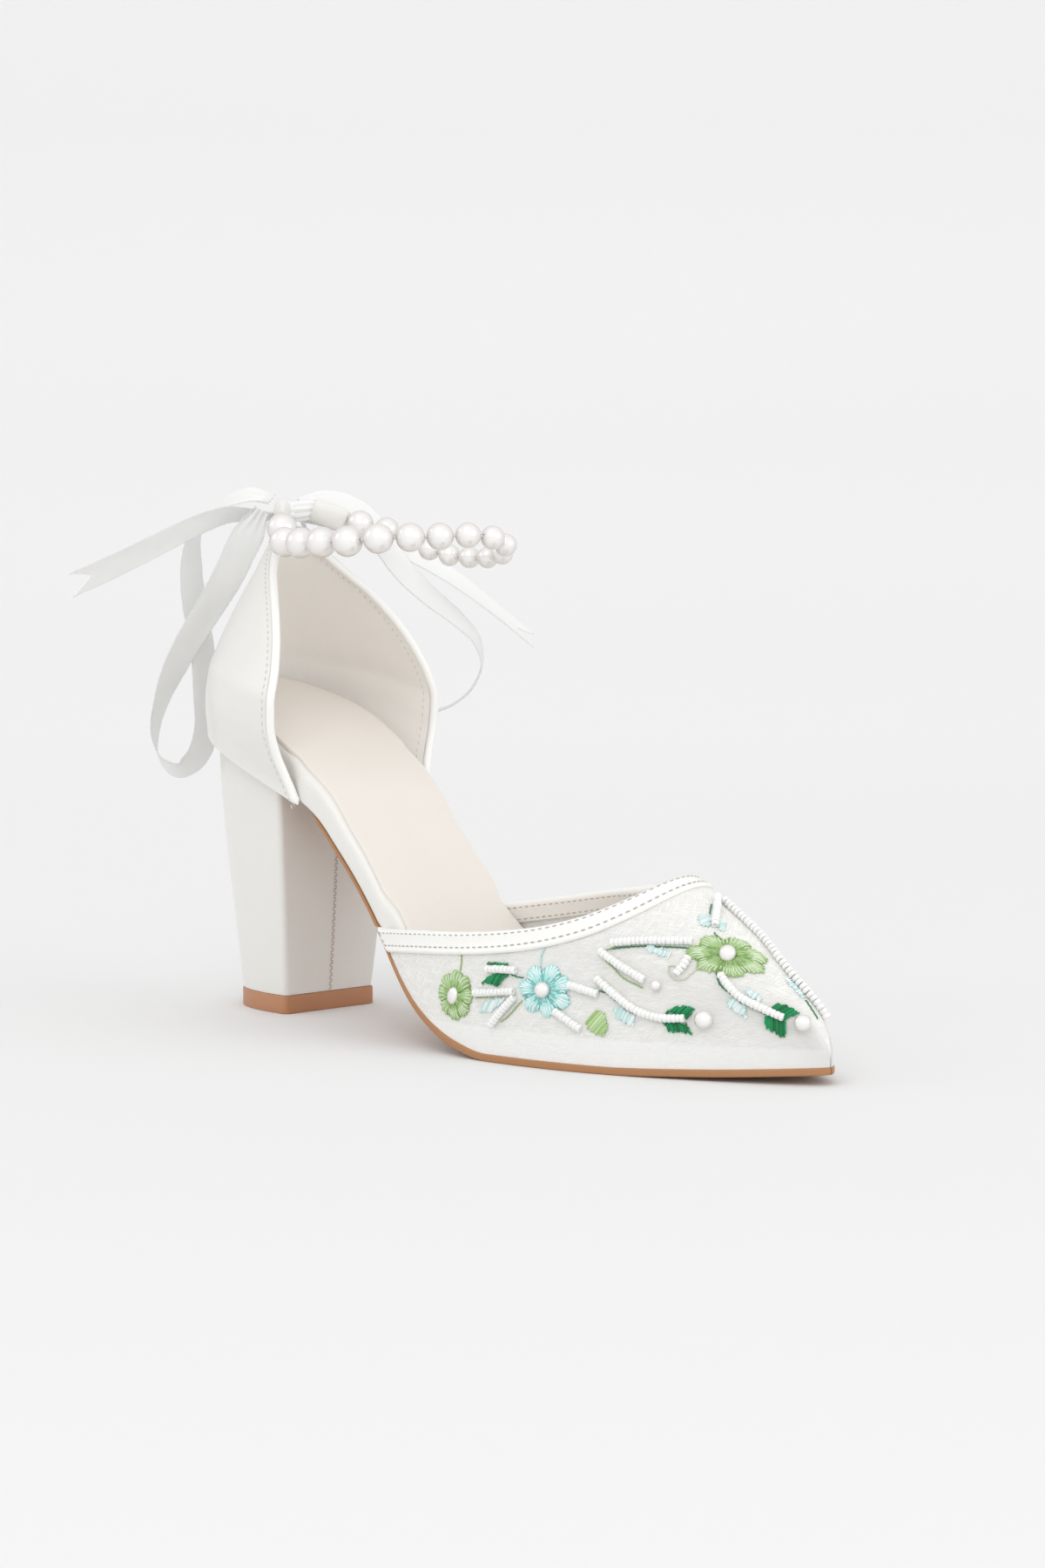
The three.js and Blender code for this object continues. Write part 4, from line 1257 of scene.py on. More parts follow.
def quarter_edge():
    """The quarter's free edge, up the outer side and down the inner, and the way out of it."""
    ups = np.linspace(0, 1, 60)
    spots, ways = [], []
    for side, order in ((0, 1), (1, -1)):
        feather = quarter_feather[-side]
        rows = feather + ups * (quarter_top_row - feather)
        spot = quarter_spot(rows, side, quarter_wall / 2)
        back = quarter_spot(rows, 0.5, quarter_wall / 2)
        way = unit((spot - back) * (1, 0, 1))
        top = np.clip((rows - 10.5) / 1.5, 0, 1)[:, None]
        way = unit(way * (1 - top) + np.array([0, 0, 1]) * top)
        spots.append(spot[::order])
        ways.append(way[::order])
    turns = np.linspace(0, 1, 26)[1:-1]
    over = quarter_spot(quarter_top_row, turns, quarter_wall / 2)
    spots.insert(1, over)
    ways.insert(1, np.broadcast_to((0.0, 0, 1), over.shape))
    return np.concatenate(spots), np.concatenate(ways)


edge_line, edge_lead = quarter_edge()
piping_line = edge_line + edge_lead * (piping_diameter / 2 - 0.1)
tube(
    "quarter_piping_cord",
    piping_line,
    piping_diameter / 2,
    [band_leather],
    replaces=["quarter_piping"],
    slot="leather",
)

# Quarter stitches: a row beside the piping on the outside and one on the lining,
# up one side, across below the top and down the other.
def quarter_seam(distance, margin, top_row):
    """A line at a distance in from the free edge, and the way out of the wall along it."""
    rows = np.linspace(0.2, top_row, 70)
    lines = []
    for side in (0, 1):
        span = (along(quarter_rows, "front_x", rows) - along(quarter_rows, "back_x", rows)) * quarter_depth
        deep = distance / span
        turn = np.arcsin(deep ** (along(quarter_rows, "fullness", rows) / 2)) / math.pi
        turn = np.minimum(turn, 0.3)
        line = quarter_spot(rows, turn if side == 0 else 1 - turn, margin)
        lines.append(line)
        last_turn = turn[-1]
    across = quarter_spot(top_row, np.linspace(last_turn, 1 - last_turn, 20)[1:-1], margin)
    line = np.concatenate([lines[0], across, lines[1][::-1]])
    middle = np.array([quarter_spot(6, 0.2)[0], 0, 0])
    away = unit((line - middle) * (1, 1, 0)) * (1 if margin <= 0 else -1)
    return line, away


edge_thread = material_of("edge thread", (0.7, 0.68, 0.63), 0.6)
quarter_seams = [quarter_seam(1.7, -0.06, 11.4), quarter_seam(3, quarter_wall + 0.06, 11)]
sew("quarter_stitches", quarter_seams, finish=edge_thread)

# Pearl strap: graduated pearls on an elastic cord, from the outer tab round the
# ankle to the inner tab.
strap_lift = 1.5
pearl_largest, pearl_smallest, pearl_bore, pearl_gap = 9.4, 6.6, 2, 0.3
strap_route = columns(
    "ahead inward up",
    [
        (0.02, -0.139, 1.012),
        (0.033, -0.18, 0.994),
        (0.059, -0.247, 0.968),
        (0.1, -0.275, 0.964),
        (0.138, -0.28, 0.965),
        (0.178, -0.258, 0.966),
        (0.212, -0.205, 0.971),
        (0.238, -0.1, 0.974),
        (0.258, 0.02, 0.976),
        (0.277, 0.13, 0.979),
        (0.29, 0.24, 0.975),
        (0.286, 0.33, 0.964),
        (0.27, 0.39, 0.948),
        (0.24, 0.412, 0.936),
        (0.2, 0.398, 0.935),
        (0.162, 0.36, 0.943),
        (0.125, 0.32, 0.965),
        (0.092, 0.27, 0.99),
        (0.062, 0.2, 1.004),
        (0.045, 0.153, 1.01),
    ],
)
strap_line = spline(
    np.stack(
        [
            strap_route["ahead"] * shoe_length,
            strap_route["inward"] * ball_width,
            strap_route["up"] * (quarter_top + strap_lift),
        ],
        1,
    ),
    24,
)
strap_reach = reach(strap_line)
strap_length = strap_reach[-1]


def on_strap(distance):
    """The spot and the way along the strap at a distance from its outer tab."""
    spot = np.array([np.interp(distance, strap_reach, strap_line[:, k]) for k in range(3)])
    near = np.array([np.interp(distance + 0.5, strap_reach, strap_line[:, k]) for k in range(3)])
    far = np.array([np.interp(distance - 0.5, strap_reach, strap_line[:, k]) for k in range(3)])
    return spot, unit(near - far)


pearl_list, gone = [], pearl_gap
while True:
    fall = math.sin(math.pi * min(max((gone / strap_length - 0.22) / 0.86, 0), 1)) ** 2
    diameter = pearl_largest - (pearl_largest - pearl_smallest) * fall
    if gone + diameter + pearl_gap > strap_length:
        break
    pearl_list.append((gone + diameter / 2, diameter))
    gone += diameter + pearl_gap
spare = (strap_length - gone) / len(pearl_list)
pearl_coat = material_of(
    "pearl",
    (0.88, 0.86, 0.84),
    0.2,
    Metallic=0.3,
    Coat_Weight=1.0,
    Coat_Roughness=0.03,
)
pearl_nodes, pearl_links, pearl_shader = tree_of(pearl_coat)
# Painted shade: the pearls' colour darkens from the face-on middle towards the rim, standing in for the
# shading of a round pearl.
pearl_shade_facing = node_of(pearl_nodes, "ShaderNodeLayerWeight", {"Blend": 0.45})
pearl_painted_rim_shade = node_of(
    pearl_nodes, "ShaderNodeMix", {"A": (0.95, 0.93, 0.915, 1), "B": (0.58, 0.54, 0.51, 1)}, data_type="RGBA"
)
join(
    pearl_links,
    (pearl_shade_facing, "Facing", pearl_painted_rim_shade, "Factor"),
    (pearl_painted_rim_shade, "Result", pearl_shader, "Base Color"),
)
pearl_points, pearl_faces, pearl_uvs = [], [], []
pearl_sides = 36
for i, (middle, diameter) in enumerate(pearl_list):
    spot, way = on_strap(middle + spare * (i + 0.5))
    side = unit(np.cross(way, (0, 0, 1)))
    other = np.cross(way, side)
    diameter += 0.2
    open_at = math.asin(0.5 * pearl_bore / diameter)
    lines = [(diameter / 2, a) for a in np.linspace(open_at, math.pi - open_at, 25)]
    start = len(pearl_points)
    for radius, a in lines:
        for b in np.linspace(0, 2 * math.pi, pearl_sides, endpoint=False):
            around = side * math.cos(b) + other * math.sin(b)
            pearl_points.append(spot - way * radius * math.cos(a) + around * radius * math.sin(a))
    rows = len(lines)
    for r in range(rows):
        for c in range(pearl_sides):
            n, m = (c + 1) % pearl_sides, (r + 1) % rows
            corners = ((r, c), (r, n), (m, n), (m, c))
            pearl_faces.append([start + row * pearl_sides + column for row, column in corners])
            pearl_uvs.append([(0, 0)] * 4)
piece(
    "strap_pearls",
    pearl_points,
    pearl_faces,
    pearl_uvs,
    [pearl_coat],
    replaces=[f"pearl_{i + 1:02d}" for i in range(len(pearl_list))],
    slot="pearl",
)
elastic_diameter = 0.9
elastic = material_of("elastic", (0.85, 0.85, 0.83), 0.6)
tube(
    "strap_elastic_cord",
    strap_line[::6],
    elastic_diameter / 2,
    [elastic],
    sides=10,
    replaces=["strap_elastic"],
    slot="elastic",
)

# Tabs: two flattened leather tubes that hold the strap's ends; their open
# mouths face the knot and take the ribbon.
outer_mouth, inner_mouth = knot + (5.7, -6.5, 1.1), knot + (7.7, 5.5, 1.1)


def oval(spot, way, width, height, sides=32):
    """An oval ring square to a way."""
    side = unit(np.cross((0, 0, 1), way))
    up = unit(np.cross(way, side))
    return [
        spot + side * width / 2 * math.cos(a) + up * height / 2 * math.sin(a)
        for a in np.linspace(0, 2 * math.pi, sides, endpoint=False)
    ]


strap_ends = (("outer", outer_mouth, strap_line[0]), ("inner", inner_mouth, strap_line[-1]))
for end_name, mouth, end in strap_ends:
    tab_way = unit(end - mouth)
    tab_span = np.linalg.norm(end - mouth)
    tab_rings = [
        (0.5, 0.4, 2.8),
        (0.3, 1.9, 4.4),
        (0.06, 3.4, 5.8),
        (0, 3.7, 6.1),
        (-0.02, 4.2, 6.8),
        (-0.01, 4.9, 7.4),
        (0.03, 5.2, 7.6),
        (0.2, 4.9, 7.6),
        (0.4, 4.2, 7.6),
        (0.65, 3.1, 7.6),
        (0.82, 2.5, 7.5),
        (0.92, 2.3, 6.9),
        (0.98, 1.9, 5.8),
        (1.01, 1.2, 4.2),
        (1.02, 0.4, 2),
    ]
    rings = [oval(mouth + tab_way * tab_span * f, tab_way, w, h) for f, w, h in tab_rings]
    tab_name = f"tab_{end_name}"
    loft(f"{tab_name}_folded", rings, [pearl_leather], replaces=[tab_name], slot="leather")

# Knot: the ribbon's gathered knot, and its pleated leads into the tabs' mouths.
knot_size = (7.6, 9.2, 7.6)


def pleated(name, spots, widths, heights, folds, depth, **facts):
    """A gathered bundle along spots: an oval section with folds."""
    spots = np.array(spots, float)
    ways = unit(np.gradient(spots, axis=0))
    loops = []
    for spot, way, width, height in zip(spots, ways, widths, heights):
        side = unit(np.cross((0, 0, 1), way))
        up = unit(np.cross(way, side))
        ring = []
        for a in np.linspace(0, 2 * math.pi, 96, endpoint=False):
            r = 1 + depth * math.sin(folds * a + 0.4 * math.sin(3 * a))
            ring.append(spot + r * (side * width / 2 * math.cos(a) + up * height / 2 * math.sin(a)))
        loops.append(ring)
    return loft(name, loops, [satin], slot="ribbon", **facts)


ball = np.linspace(-1, 1, 15) * 0.995
pleated(
    "bow_knot_gathered",
    [knot + (0.6 * b, b * knot_size[1] / 2, 0.3 * b) for b in ball],
    [max(knot_size[0] * math.sqrt(1 - b * b), 0.5) for b in ball],
    [max(knot_size[2] * math.sqrt(1 - b * b), 0.5) for b in ball],
    8,
    0.05,
    replaces=["bow_knot"],
)
for lead_name, mouth, end in strap_ends:
    inside = mouth + unit(end - mouth) * 2.4
    pleated(
        f"ribbon_lead_{lead_name}",
        [knot * (1 - f) + mouth * f for f in (0.15, 0.5, 0.8, 1)] + [inside],
        [4.4, 4, 3.4, 2.9, 1.8],
        [6, 6.2, 5.8, 5, 3.6],
        9,
        0.09,
    )

# Embroidery: flowers and leaves in raised satin stitch, thread lines, rows of
# white beads and sewn pearls over the mesh. Places are (at, turn) on the last,
# and shapes are in mm round them, along to the toe and up over the last.
thread_radius = 0.24
stitch_pitch = 0.42


def on_vamp(spot, ahead, over, lift):
    """Points over the mesh, by distances from a spot on the last and lifts off it."""
    ahead, over = np.asarray(ahead, float), np.asarray(over, float)
    at, turn = slide(np.full(ahead.shape, spot[0]), np.full(ahead.shape, spot[1]), ahead, over, 8)
    place, _, _, out = last_frame(at, turn)
    return place + out * np.asarray(lift, float)[..., None], out


def strand_group():
    """Draws every line as a round thread."""
    group = bpy.data.node_groups.new("strands", "GeometryNodeTree")
    for name, kind in (("Lines", "Geometry"), ("Radius", "Float"), ("Finish", "Material")):
        group.interface.new_socket(name, in_out="INPUT", socket_type=f"NodeSocket{kind}")
    group.interface.new_socket("Threads", in_out="OUTPUT", socket_type="NodeSocketGeometry")
    nodes, links = group.nodes, group.links
    entry, out = nodes.new("NodeGroupInput"), nodes.new("NodeGroupOutput")
    curve = nodes.new("GeometryNodeMeshToCurve")
    section = node_of(nodes, "GeometryNodeCurvePrimitiveCircle", {"Resolution": 5})
    skin = node_of(nodes, "GeometryNodeCurveToMesh", {"Fill Caps": True})
    real = nodes.new("GeometryNodeRealizeInstances")
    finish = nodes.new("GeometryNodeSetMaterial")
    join(
        links,
        (entry, "Lines", curve, "Mesh"),
        (entry, "Radius", section, "Radius"),
        (curve, "Curve", skin, "Curve"),
        (section, "Curve", skin, "Profile Curve"),
        (skin, "Mesh", real, "Geometry"),
        (real, "Geometry", finish, "Geometry"),
        (entry, "Finish", finish, "Material"),
        (finish, "Geometry", out, "Threads"),
    )
    return group


strands = strand_group()


def laid(spot, strokes):
    """Threads over the mesh from strokes of (ahead, over, lift), all with as many points."""
    ahead, over, lift = np.array(strokes).transpose(1, 0, 2)
    points, facing = on_vamp(spot, ahead, over, lift)
    return list(zip(points, facing))


def petals(spot, size, count, notch, phase, lean=0.0):
    """Radial satin stitches of one flower, in three tones: its dark folds, its body and its light tips."""
    width, height = size
    turns = np.arange(0, 2 * math.pi, stitch_pitch / max(size))
    t = np.linspace(0, 1, 7)
    tones = {"dark": [], "body": [], "light": []}
    for i, a in enumerate(turns):
        bulge = abs(math.cos(count * (a - phase) / 2)) ** 0.55
        edge = (1 - notch * (1 - bulge)) * (1 + dice.uniform(-0.06, 0.05))
        sway = a + 0.06 * np.sin(3 * t) * math.sin(7 * a)
        fold = bulge < 0.62
        layers = [("dark" if fold else "body", 0.26, edge, 0.7)]
        if i % 3 == 0:
            layers.append(("light", 0.55, edge * 0.97, 0.85))
        if i % 2 == 0:
            layers.append(("dark" if i % 4 else "body", 0.22, 0.55 * edge * dice.uniform(0.85, 1.15), 1.0))
        for tone, start, end, high in layers:
            r = start + (end - start) * t
            rise = (0.45 + 0.55 * bulge) * high * dice.uniform(0.85, 1.15)
            lift = 0.12 + rise * np.sin(math.pi * (0.12 + 0.85 * t)) ** 0.7
            x, y = width * r * np.cos(sway), height * r * np.sin(sway)
            ahead, over = x * math.cos(lean) - y * math.sin(lean), x * math.sin(lean) + y * math.cos(lean)
            tones[tone].append((ahead, over, lift))
    return {tone: laid(spot, strokes) for tone, strokes in tones.items()}


def satin_fill(spot, corners, angle, high=0.55):
    """Parallel satin stitches across a shape; angle is the way that they run, in degrees."""
    corners = np.array(corners, float)
    way = np.array([math.cos(math.radians(angle)), math.sin(math.radians(angle))])
    side = np.array([-way[1], way[0]])
    low, up = (corners @ side).min(), (corners @ side).max()
    t = np.linspace(0, 1, 5)
    strokes = []
    for level_at in np.arange(low + 0.15, up, 0.36):
        crossings = []
        for a, b in zip(corners, np.roll(corners, -1, 0)):
            da, db = a @ side - level_at, b @ side - level_at
            if da * db < 0:
                crossings.append((a + (b - a) * da / (da - db)) @ way)
        if len(crossings) < 2:
            continue
        start, end = min(crossings) - dice.uniform(-0.3, 0.6), max(crossings) + dice.uniform(-0.3, 0.6)
        line = way * (start + (end - start) * t)[:, None] + side * level_at
        rise = high * dice.uniform(0.75, 1.2)
        strokes.append((line[:, 0], line[:, 1], 0.1 + rise * np.sin(math.pi * (0.06 + 0.88 * t)) ** 0.6))
    return laid(spot, strokes)


def stitched(name, lines, colour, radius=thread_radius):
    thread = material_of(name, colour, 0.45, Sheen_Weight=0.1, Sheen_Roughness=0.4)
    return plain(name, lines, strands, "mesh", Radius=radius * mm, Finish=thread)


dice = random.Random(7)
flowers = {
    "sage": [
        petals((0.561, 0.056), (7.4, 7.0), 8, 0.14, 0.3),
        petals((0.882, 0.318), (11.4, 6.1), 7, 0.26, 0.5, math.radians(22)),
    ],
    "aqua": [petals((0.693, 0.105), (8.9, 7.4), 7, 0.3, 1.45)],
}
flower_tones = {
    "sage": {"dark": (0.25, 0.42, 0.13), "body": (0.4, 0.58, 0.26), "light": (0.66, 0.78, 0.54)},
    "aqua": {"dark": (0.22, 0.56, 0.53), "body": (0.5, 0.82, 0.8), "light": (0.84, 0.95, 0.94)},
}
for hue, tones in flower_tones.items():
    for tone, colour in tones.items():
        stitched(f"{hue}_flower_{tone}_threads", [t for flower in flowers[hue] for t in flower[tone]], colour)

sage_leaf = [(-3.8, -0.7), (-1.3, 3.4), (1, 3.2), (3.3, -0.8), (2.1, -3.2), (-2, -2.3)]


def leaf_threads(name, lines, tones):
    """Leaf stitches shared out among tones of one colour."""
    shares = [dice.randrange(len(tones)) for _ in lines]
    for i, tone in enumerate(tones):
        stitched(f"{name}_{i + 1}", [line for line, part in zip(lines, shares) if part == i], tone)


sage_tones = ((0.38, 0.56, 0.22), (0.46, 0.66, 0.3), (0.64, 0.78, 0.5))
leaf_threads("sage_leaf_threads", satin_fill((0.763, 0.07), sage_leaf, 55), sage_tones)
emerald_leaves = [
    (
        (0.623, 0.102),
        [(-4.4, -1.9), (-2.9, 0), (-0.5, 1.6), (4.3, 2.5), (2.5, 0.2), (1.4, -1.3), (-1.9, -1.5)],
        70,
    ),
    ((0.623, 0.102), [(-4.1, 2.9), (-3.8, 3.9), (2.8, 5), (3.1, 4.4)], 80),
    ((0.851, 0.123), [(-3.9, -1), (-2.2, 0.7), (0.5, 1.8), (3.9, 1.7), (2.5, -1.3), (1, -0.6)], 60),
    ((0.851, 0.088), [(-4.4, 0.7), (1, 1.4), (2.4, 1.2), (4.2, -0.9), (1.2, -0.8), (-2.5, -1.2)], 115),
    ((0.952, 0.248), [(-3.5, -1.1), (-2.6, 0.9), (0.5, 1.9), (3.5, 2.2), (1.9, -1.4), (-1.7, -1.7)], 70),
    ((0.948, 0.167), [(-3.9, 1.2), (-1.7, 1.9), (2.2, 1.8), (3.8, -2.1), (0.4, -1.6), (-2.5, -1.1)], 115),
]
emerald_strands = [t for leaf in emerald_leaves for t in satin_fill(*leaf)]
emerald_tones = ((0.0, 0.26, 0.08), (0.0, 0.16, 0.045), (0.0, 0.33, 0.11))
leaf_threads("emerald_leaf_threads", emerald_strands, emerald_tones)
aqua_leaves = [
    ((0.621, 0.064), [(-4.1, -2.7), (-2.9, 0), (-0.3, 1.6), (4.4, 2.6), (3.1, 0.6), (-0.2, -2)], 70),
    ((0.791, 0.091), [(-3.5, 1.5), (-0.7, 2.1), (3.5, 0.1), (3.3, -2.5), (-2.1, -0.6)], 75),
    ((0.92, 0.239), [(-2.8, -0.1), (-1.1, 1), (2.5, 0.3), (2.4, -0.8), (-1.6, -0.6)], 90),
    ((0.906, 0.171), [(-3.1, 1.4), (-1.4, 2.5), (3, 1), (3.8, -1.4), (-2.1, 0.1)], 80),
    ((0.841, 0.384), [(-2.5, 0), (-0.2, 2.6), (2.3, -0.6), (0.3, -2)], 70),
    ((0.859, 0.402), [(-1.9, 0.9), (-0.6, 1.9), (1.5, -0.6), (0.8, -1.5)], 70),
    ((0.951, 0.44), [(-3.6, -0.9), (-3.4, 0.3), (3.5, 1), (3.6, -0.2)], 90),
    ((0.812, 0.238), [(-3.6, -1.1), (-3.6, 0.5), (3.7, 1.1), (3.7, -0.7)], 90),
]
aqua_strands = [t for leaf in aqua_leaves for t in satin_fill(*leaf, 0.3)]
leaf_threads("aqua_leaf_threads", aqua_strands, ((0.55, 0.78, 0.77), (0.86, 0.93, 0.92), (0.7, 0.85, 0.84)))


def sewn_line(places, lift, steps=6):
    """A smooth line over the mesh through (at, turn) places."""
    at, turn = spline(np.array(places, float), steps).T
    spot, _, _, out = last_frame(at, turn)
    return spot + out * lift, out


thread_lines = {
    "sage": [
        [(0.562, 0.125), (0.566, 0.11), (0.566, 0.096)],
        [(0.596, 0.067), (0.626, 0.078), (0.65, 0.087)],
        [(0.663, 0.079), (0.645, 0.052), (0.637, 0.044)],
        [(0.705, 0.071), (0.715, 0.066), (0.724, 0.06)],
        [(0.762, 0.21), (0.752, 0.199), (0.757, 0.186), (0.77, 0.174), (0.784, 0.16), (0.805, 0.152)],
    ],
    "emerald": [
        [(0.645, 0.116), (0.652, 0.115), (0.66, 0.116)],
        [(0.757, 0.126), (0.768, 0.125), (0.779, 0.116), (0.798, 0.104)],
        [(0.761, 0.209), (0.796, 0.236), (0.816, 0.252), (0.846, 0.283)],
        [(0.878, 0.246), (0.886, 0.219), (0.899, 0.207), (0.909, 0.197), (0.924, 0.194), (0.946, 0.194)],
        [(0.831, 0.462), (0.836, 0.436), (0.842, 0.408)],
        [(0.858, 0.363), (0.861, 0.36), (0.865, 0.358)],
        [(0.965, 0.454), (0.972, 0.458), (0.979, 0.464)],
    ],
    "aqua": [[(0.682, 0.172), (0.68, 0.16), (0.682, 0.144)]],
    "pale": [
        [
            (0.838, 0.213),
            (0.835, 0.219),
            (0.83, 0.218),
            (0.829, 0.205),
            (0.836, 0.191),
            (0.846, 0.195),
            (0.854, 0.22),
            (0.86, 0.249),
        ]
    ],
}
stitch_shape = shape_of(
    "stitch", lambda work: bmesh.ops.create_icosphere(work, subdivisions=2, radius=0.5 * mm)
)
for vertex in stitch_shape.data.vertices:
    vertex.co.x, vertex.co.y, vertex.co.z = vertex.co.x * 1.1, vertex.co.y * 0.42, vertex.co.z * 0.42
line_tones = {
    "sage": (0.3, 0.45, 0.15),
    "emerald": (0.0, 0.19, 0.06),
    "aqua": (0.4, 0.7, 0.68),
    "pale": (0.62, 0.64, 0.5),
}
for tone, lines in thread_lines.items():
    tone_thread = material_of(f"{tone} line thread", line_tones[tone], 0.45, Sheen_Weight=0.3)
    plain(
        f"{tone}_line_stitches",
        [sewn_line(line, 0.2) for line in lines],
        repeat_along,
        "mesh",
        Shape=stitch_shape,
        Spacing=0.7 * mm,
        Turn=0.3,
        Vary=0.1,
        Finish=tone_thread,
    )

# Beads: rows of short white rocailles threaded side by side, and single pearls
# sewn on, their bright crown from the glint lamp and the pearl finish's painted shade at the rim.
bead_radius, bead_length, bead_bore = 1.2, 1.24, 0.35
bead_rows = [
    [(0.612, 0.115), (0.63, 0.12), (0.649, 0.124)],
    [(0.598, 0.075), (0.624, 0.083), (0.65, 0.091)],
    [(0.653, 0.081), (0.638, 0.059), (0.624, 0.038)],
    [(0.725, 0.123), (0.74, 0.122), (0.757, 0.12)],
    [(0.712, 0.075), (0.727, 0.066), (0.742, 0.057)],
    [(0.752, 0.197), (0.776, 0.182), (0.805, 0.168)],
    [(0.756, 0.145), (0.776, 0.128), (0.798, 0.11), (0.813, 0.103), (0.834, 0.102), (0.855, 0.11)],
    [(0.762, 0.221), (0.795, 0.247), (0.816, 0.266), (0.841, 0.296)],
    [(0.845, 0.25), (0.843, 0.227), (0.839, 0.207)],
    [(0.884, 0.246), (0.895, 0.226), (0.908, 0.21), (0.922, 0.207), (0.942, 0.211), (0.952, 0.217)],
    [(0.825, 0.51), (0.838, 0.463), (0.853, 0.39)],
]
ridge_chain = [
    (0.832, 0.525),
    (0.857, 0.517),
    (0.884, 0.508),
    (0.9, 0.5),
    (0.921, 0.48),
    (0.939, 0.48),
    (0.956, 0.5),
    (0.97, 0.55),
    (0.978, 0.61),
]
bead_glass = material_of("bead glass", (0.9, 0.9, 0.885), 0.3, Coat_Weight=0.4, Coat_Roughness=0.1)


def bead_of(work, radius, length, bore, around=12):
    """A short rounded bead with its hole along X."""
    profile = [
        (-0.5, bore),
        (-0.5, 0.82 * radius),
        (-0.3, 0.97 * radius),
        (0, radius),
        (0.3, 0.97 * radius),
        (0.5, 0.82 * radius),
        (0.5, bore),
    ]
    rows = []
    for i in range(around):
        a = 2 * math.pi * i / around
        rows.append([work.verts.new((x * length, r * math.cos(a), r * math.sin(a))) for x, r in profile])
    for i in range(around):
        for k in range(len(profile)):
            n, m = (i + 1) % around, (k + 1) % len(profile)
            work.faces.new((rows[i][k], rows[n][k], rows[n][m], rows[i][m]))


bead = shape_of("bead", lambda work: bead_of(work, bead_radius * mm, bead_length * mm, bead_bore * mm))
for name, rows, spacing in (("bead_rows", bead_rows, 1.2), ("ridge_bead_chain", [ridge_chain], 1.45)):
    plain(
        name,
        [sewn_line(row, bead_radius - 0.1) for row in rows],
        repeat_along,
        "pearl",
        Shape=bead,
        Spacing=spacing * mm,
        Turn=0.06,
        Vary=0.06,
        Finish=bead_glass,
    )
for shape in (bead, stitch_shape):
    bpy.data.objects.remove(shape)

sewn_pearls = [
    ((0.561, 0.055), (2.6, 2.0, 1.3)),
    ((0.693, 0.105), (2.3, 2.3, 2.1)),
    ((0.882, 0.318), (2.4, 2.4, 2.0)),
    ((0.821, 0.164), (1.5, 1.5, 1.4)),
    ((0.878, 0.118), (2.6, 2.6, 2.3)),
    ((0.972, 0.262), (2.4, 2.4, 2.2)),
]
pearl_vertices, pearl_polygons = [], []
for spot, (tall, wide, deep) in sewn_pearls:
    place, ahead, over, out = (np.asarray(v)[0] for v in last_frame(np.array([spot[0]]), np.array([spot[1]])))
    over = unit(over)
    start = len(pearl_vertices)
    rows, around = 13, 28
    for r in range(rows):
        a = math.pi * (r + 0.5) / rows
        for c in range(around):
            b = 2 * math.pi * c / around
            flat = ahead * wide * math.cos(b) + over * tall * math.sin(b)
            pearl_vertices.append(place + out * deep * (0.9 + math.cos(a)) + flat * math.sin(a))
    for r in range(rows - 1):
        for c in range(around):
            n = (c + 1) % around
            corner = (r * around + c, (r + 1) * around + c, (r + 1) * around + n, r * around + n)
            pearl_polygons.append([start + i for i in corner])
    pearl_polygons.append([start + c for c in range(around)])
    pearl_polygons.append([start + (rows - 1) * around + c for c in range(around)][::-1])
piece(
    "sewn_pearls",
    pearl_vertices,
    pearl_polygons,
    [[(0, 0)] * len(polygon) for polygon in pearl_polygons],
    [pearl_coat],
    slot="pearl",
)

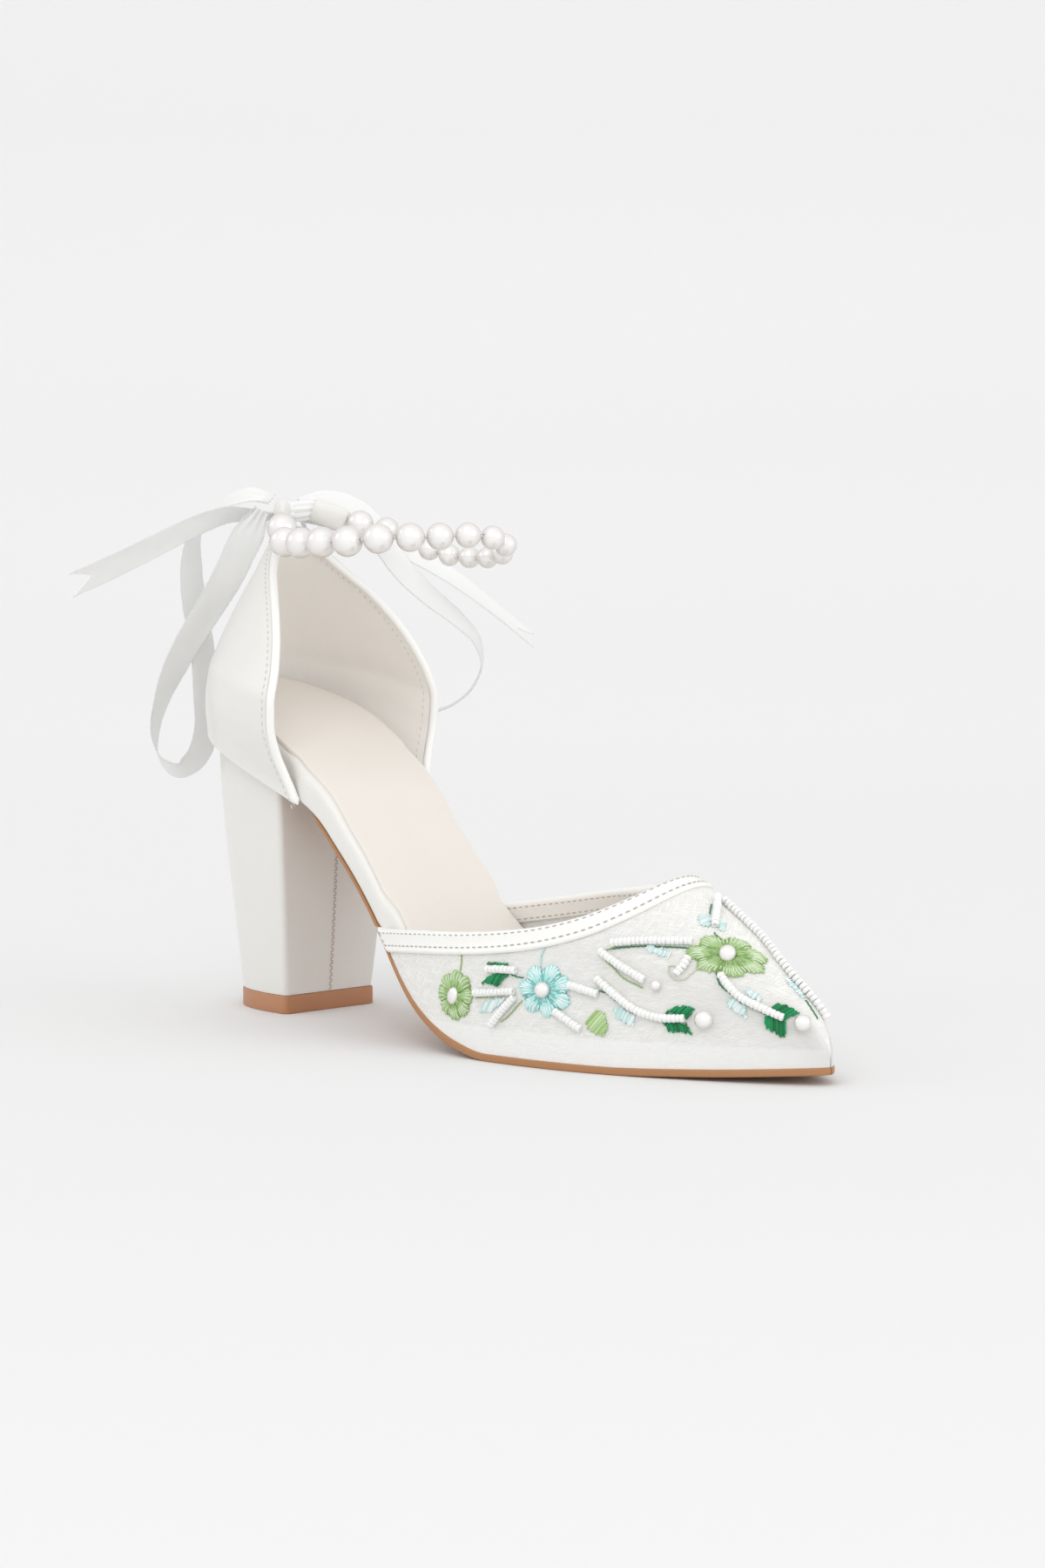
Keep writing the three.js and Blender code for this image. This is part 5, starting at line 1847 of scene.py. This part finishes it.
# Floor and light: a pale seamless floor and wall, four broad soft lights, a
# small one for the pearls' glints, and an even surround.
sweep_points, sweep_faces = [], []
sweep_profile = [(-3, 0), (1.2, 0), (1.7, 0.06), (2.1, 0.25), (2.4, 0.6), (2.5, 1.1), (2.5, 4)]
for i, (back, rise) in enumerate(sweep_profile):
    middle = Vector((-math.sin(look_turn), math.cos(look_turn), 0)) * back
    side = Vector((math.cos(look_turn), math.sin(look_turn), 0)) * 4
    sweep_points += [middle - side + Vector((0, 0, rise)), middle + side + Vector((0, 0, rise))]
    if i:
        sweep_faces.append((2 * i - 2, 2 * i - 1, 2 * i + 1, 2 * i))
sweep_mesh = bpy.data.meshes.new("studio sweep")
sweep_mesh.from_pydata(sweep_points, [], sweep_faces)
sweep_mesh.polygons.foreach_set("use_smooth", [True] * len(sweep_faces))
paper = material_of("paper", (0.8, 0.8, 0.8), 0.9)
paper_nodes, paper_links, paper_shader = tree_of(paper)
paper_place = paper_nodes.new("ShaderNodeTexCoord")
depth_axis = (-math.sin(look_turn), math.cos(look_turn), 0)
paper_depth = node_of(paper_nodes, "ShaderNodeVectorMath", {1: depth_axis}, operation="DOT_PRODUCT")
# Painted light and shade: the paper is darker on the floor near the shoe and lighter up the wall, to even out
# the floor's stronger lighting.
paper_painted_shade_grade = node_of(
    paper_nodes, "ShaderNodeMapRange", {"From Min": -0.3, "From Max": 1.3, "To Min": 0.78, "To Max": 0.91}
)
join(
    paper_links,
    (paper_place, "Object", paper_depth, 0),
    (paper_depth, "Value", paper_painted_shade_grade, "Value"),
    (paper_painted_shade_grade, "Result", paper_shader, "Base Color"),
)
sweep_mesh.materials.append(paper)
sweep = bpy.data.objects.new("studio_sweep", sweep_mesh)
scene.collection.objects.link(sweep)


def soft_light(name, spot, aim, size, power):
    data = bpy.data.lights.new(name, "AREA")
    data.shape = "RECTANGLE"
    data.size, data.size_y = size
    data.energy = power
    light = bpy.data.objects.new(name, data)
    light.location = spot
    light.rotation_mode = "QUATERNION"
    light.rotation_quaternion = (Vector(aim) - Vector(spot)).to_track_quat("-Z", "Y")
    scene.collection.objects.link(light)


middle = (0.09, 0, 0.08)
soft_light("key", (0.45, -0.75, 1.5), middle, (0.9, 0.8), 2)
soft_light("fill", (1.6, 0.35, 0.6), middle, (1.0, 0.8), 3.4)
soft_light("front", (0.9, -0.9, 0.8), middle, (0.6, 0.6), 1.2)
soft_light("side", (-0.9, -0.9, 0.8), middle, (0.6, 0.6), 0.8)
soft_light("glint", (0.35, -1.1, 1.0), middle, (0.16, 0.2), 0.7)
world = bpy.data.worlds.new("surround")
world.use_nodes = True
world.node_tree.nodes["Background"].inputs["Color"].default_value = (0.96, 0.96, 0.96, 1)
world.node_tree.nodes["Background"].inputs["Strength"].default_value = 0.99
scene.world = world
scene.view_settings.view_transform = "Standard"
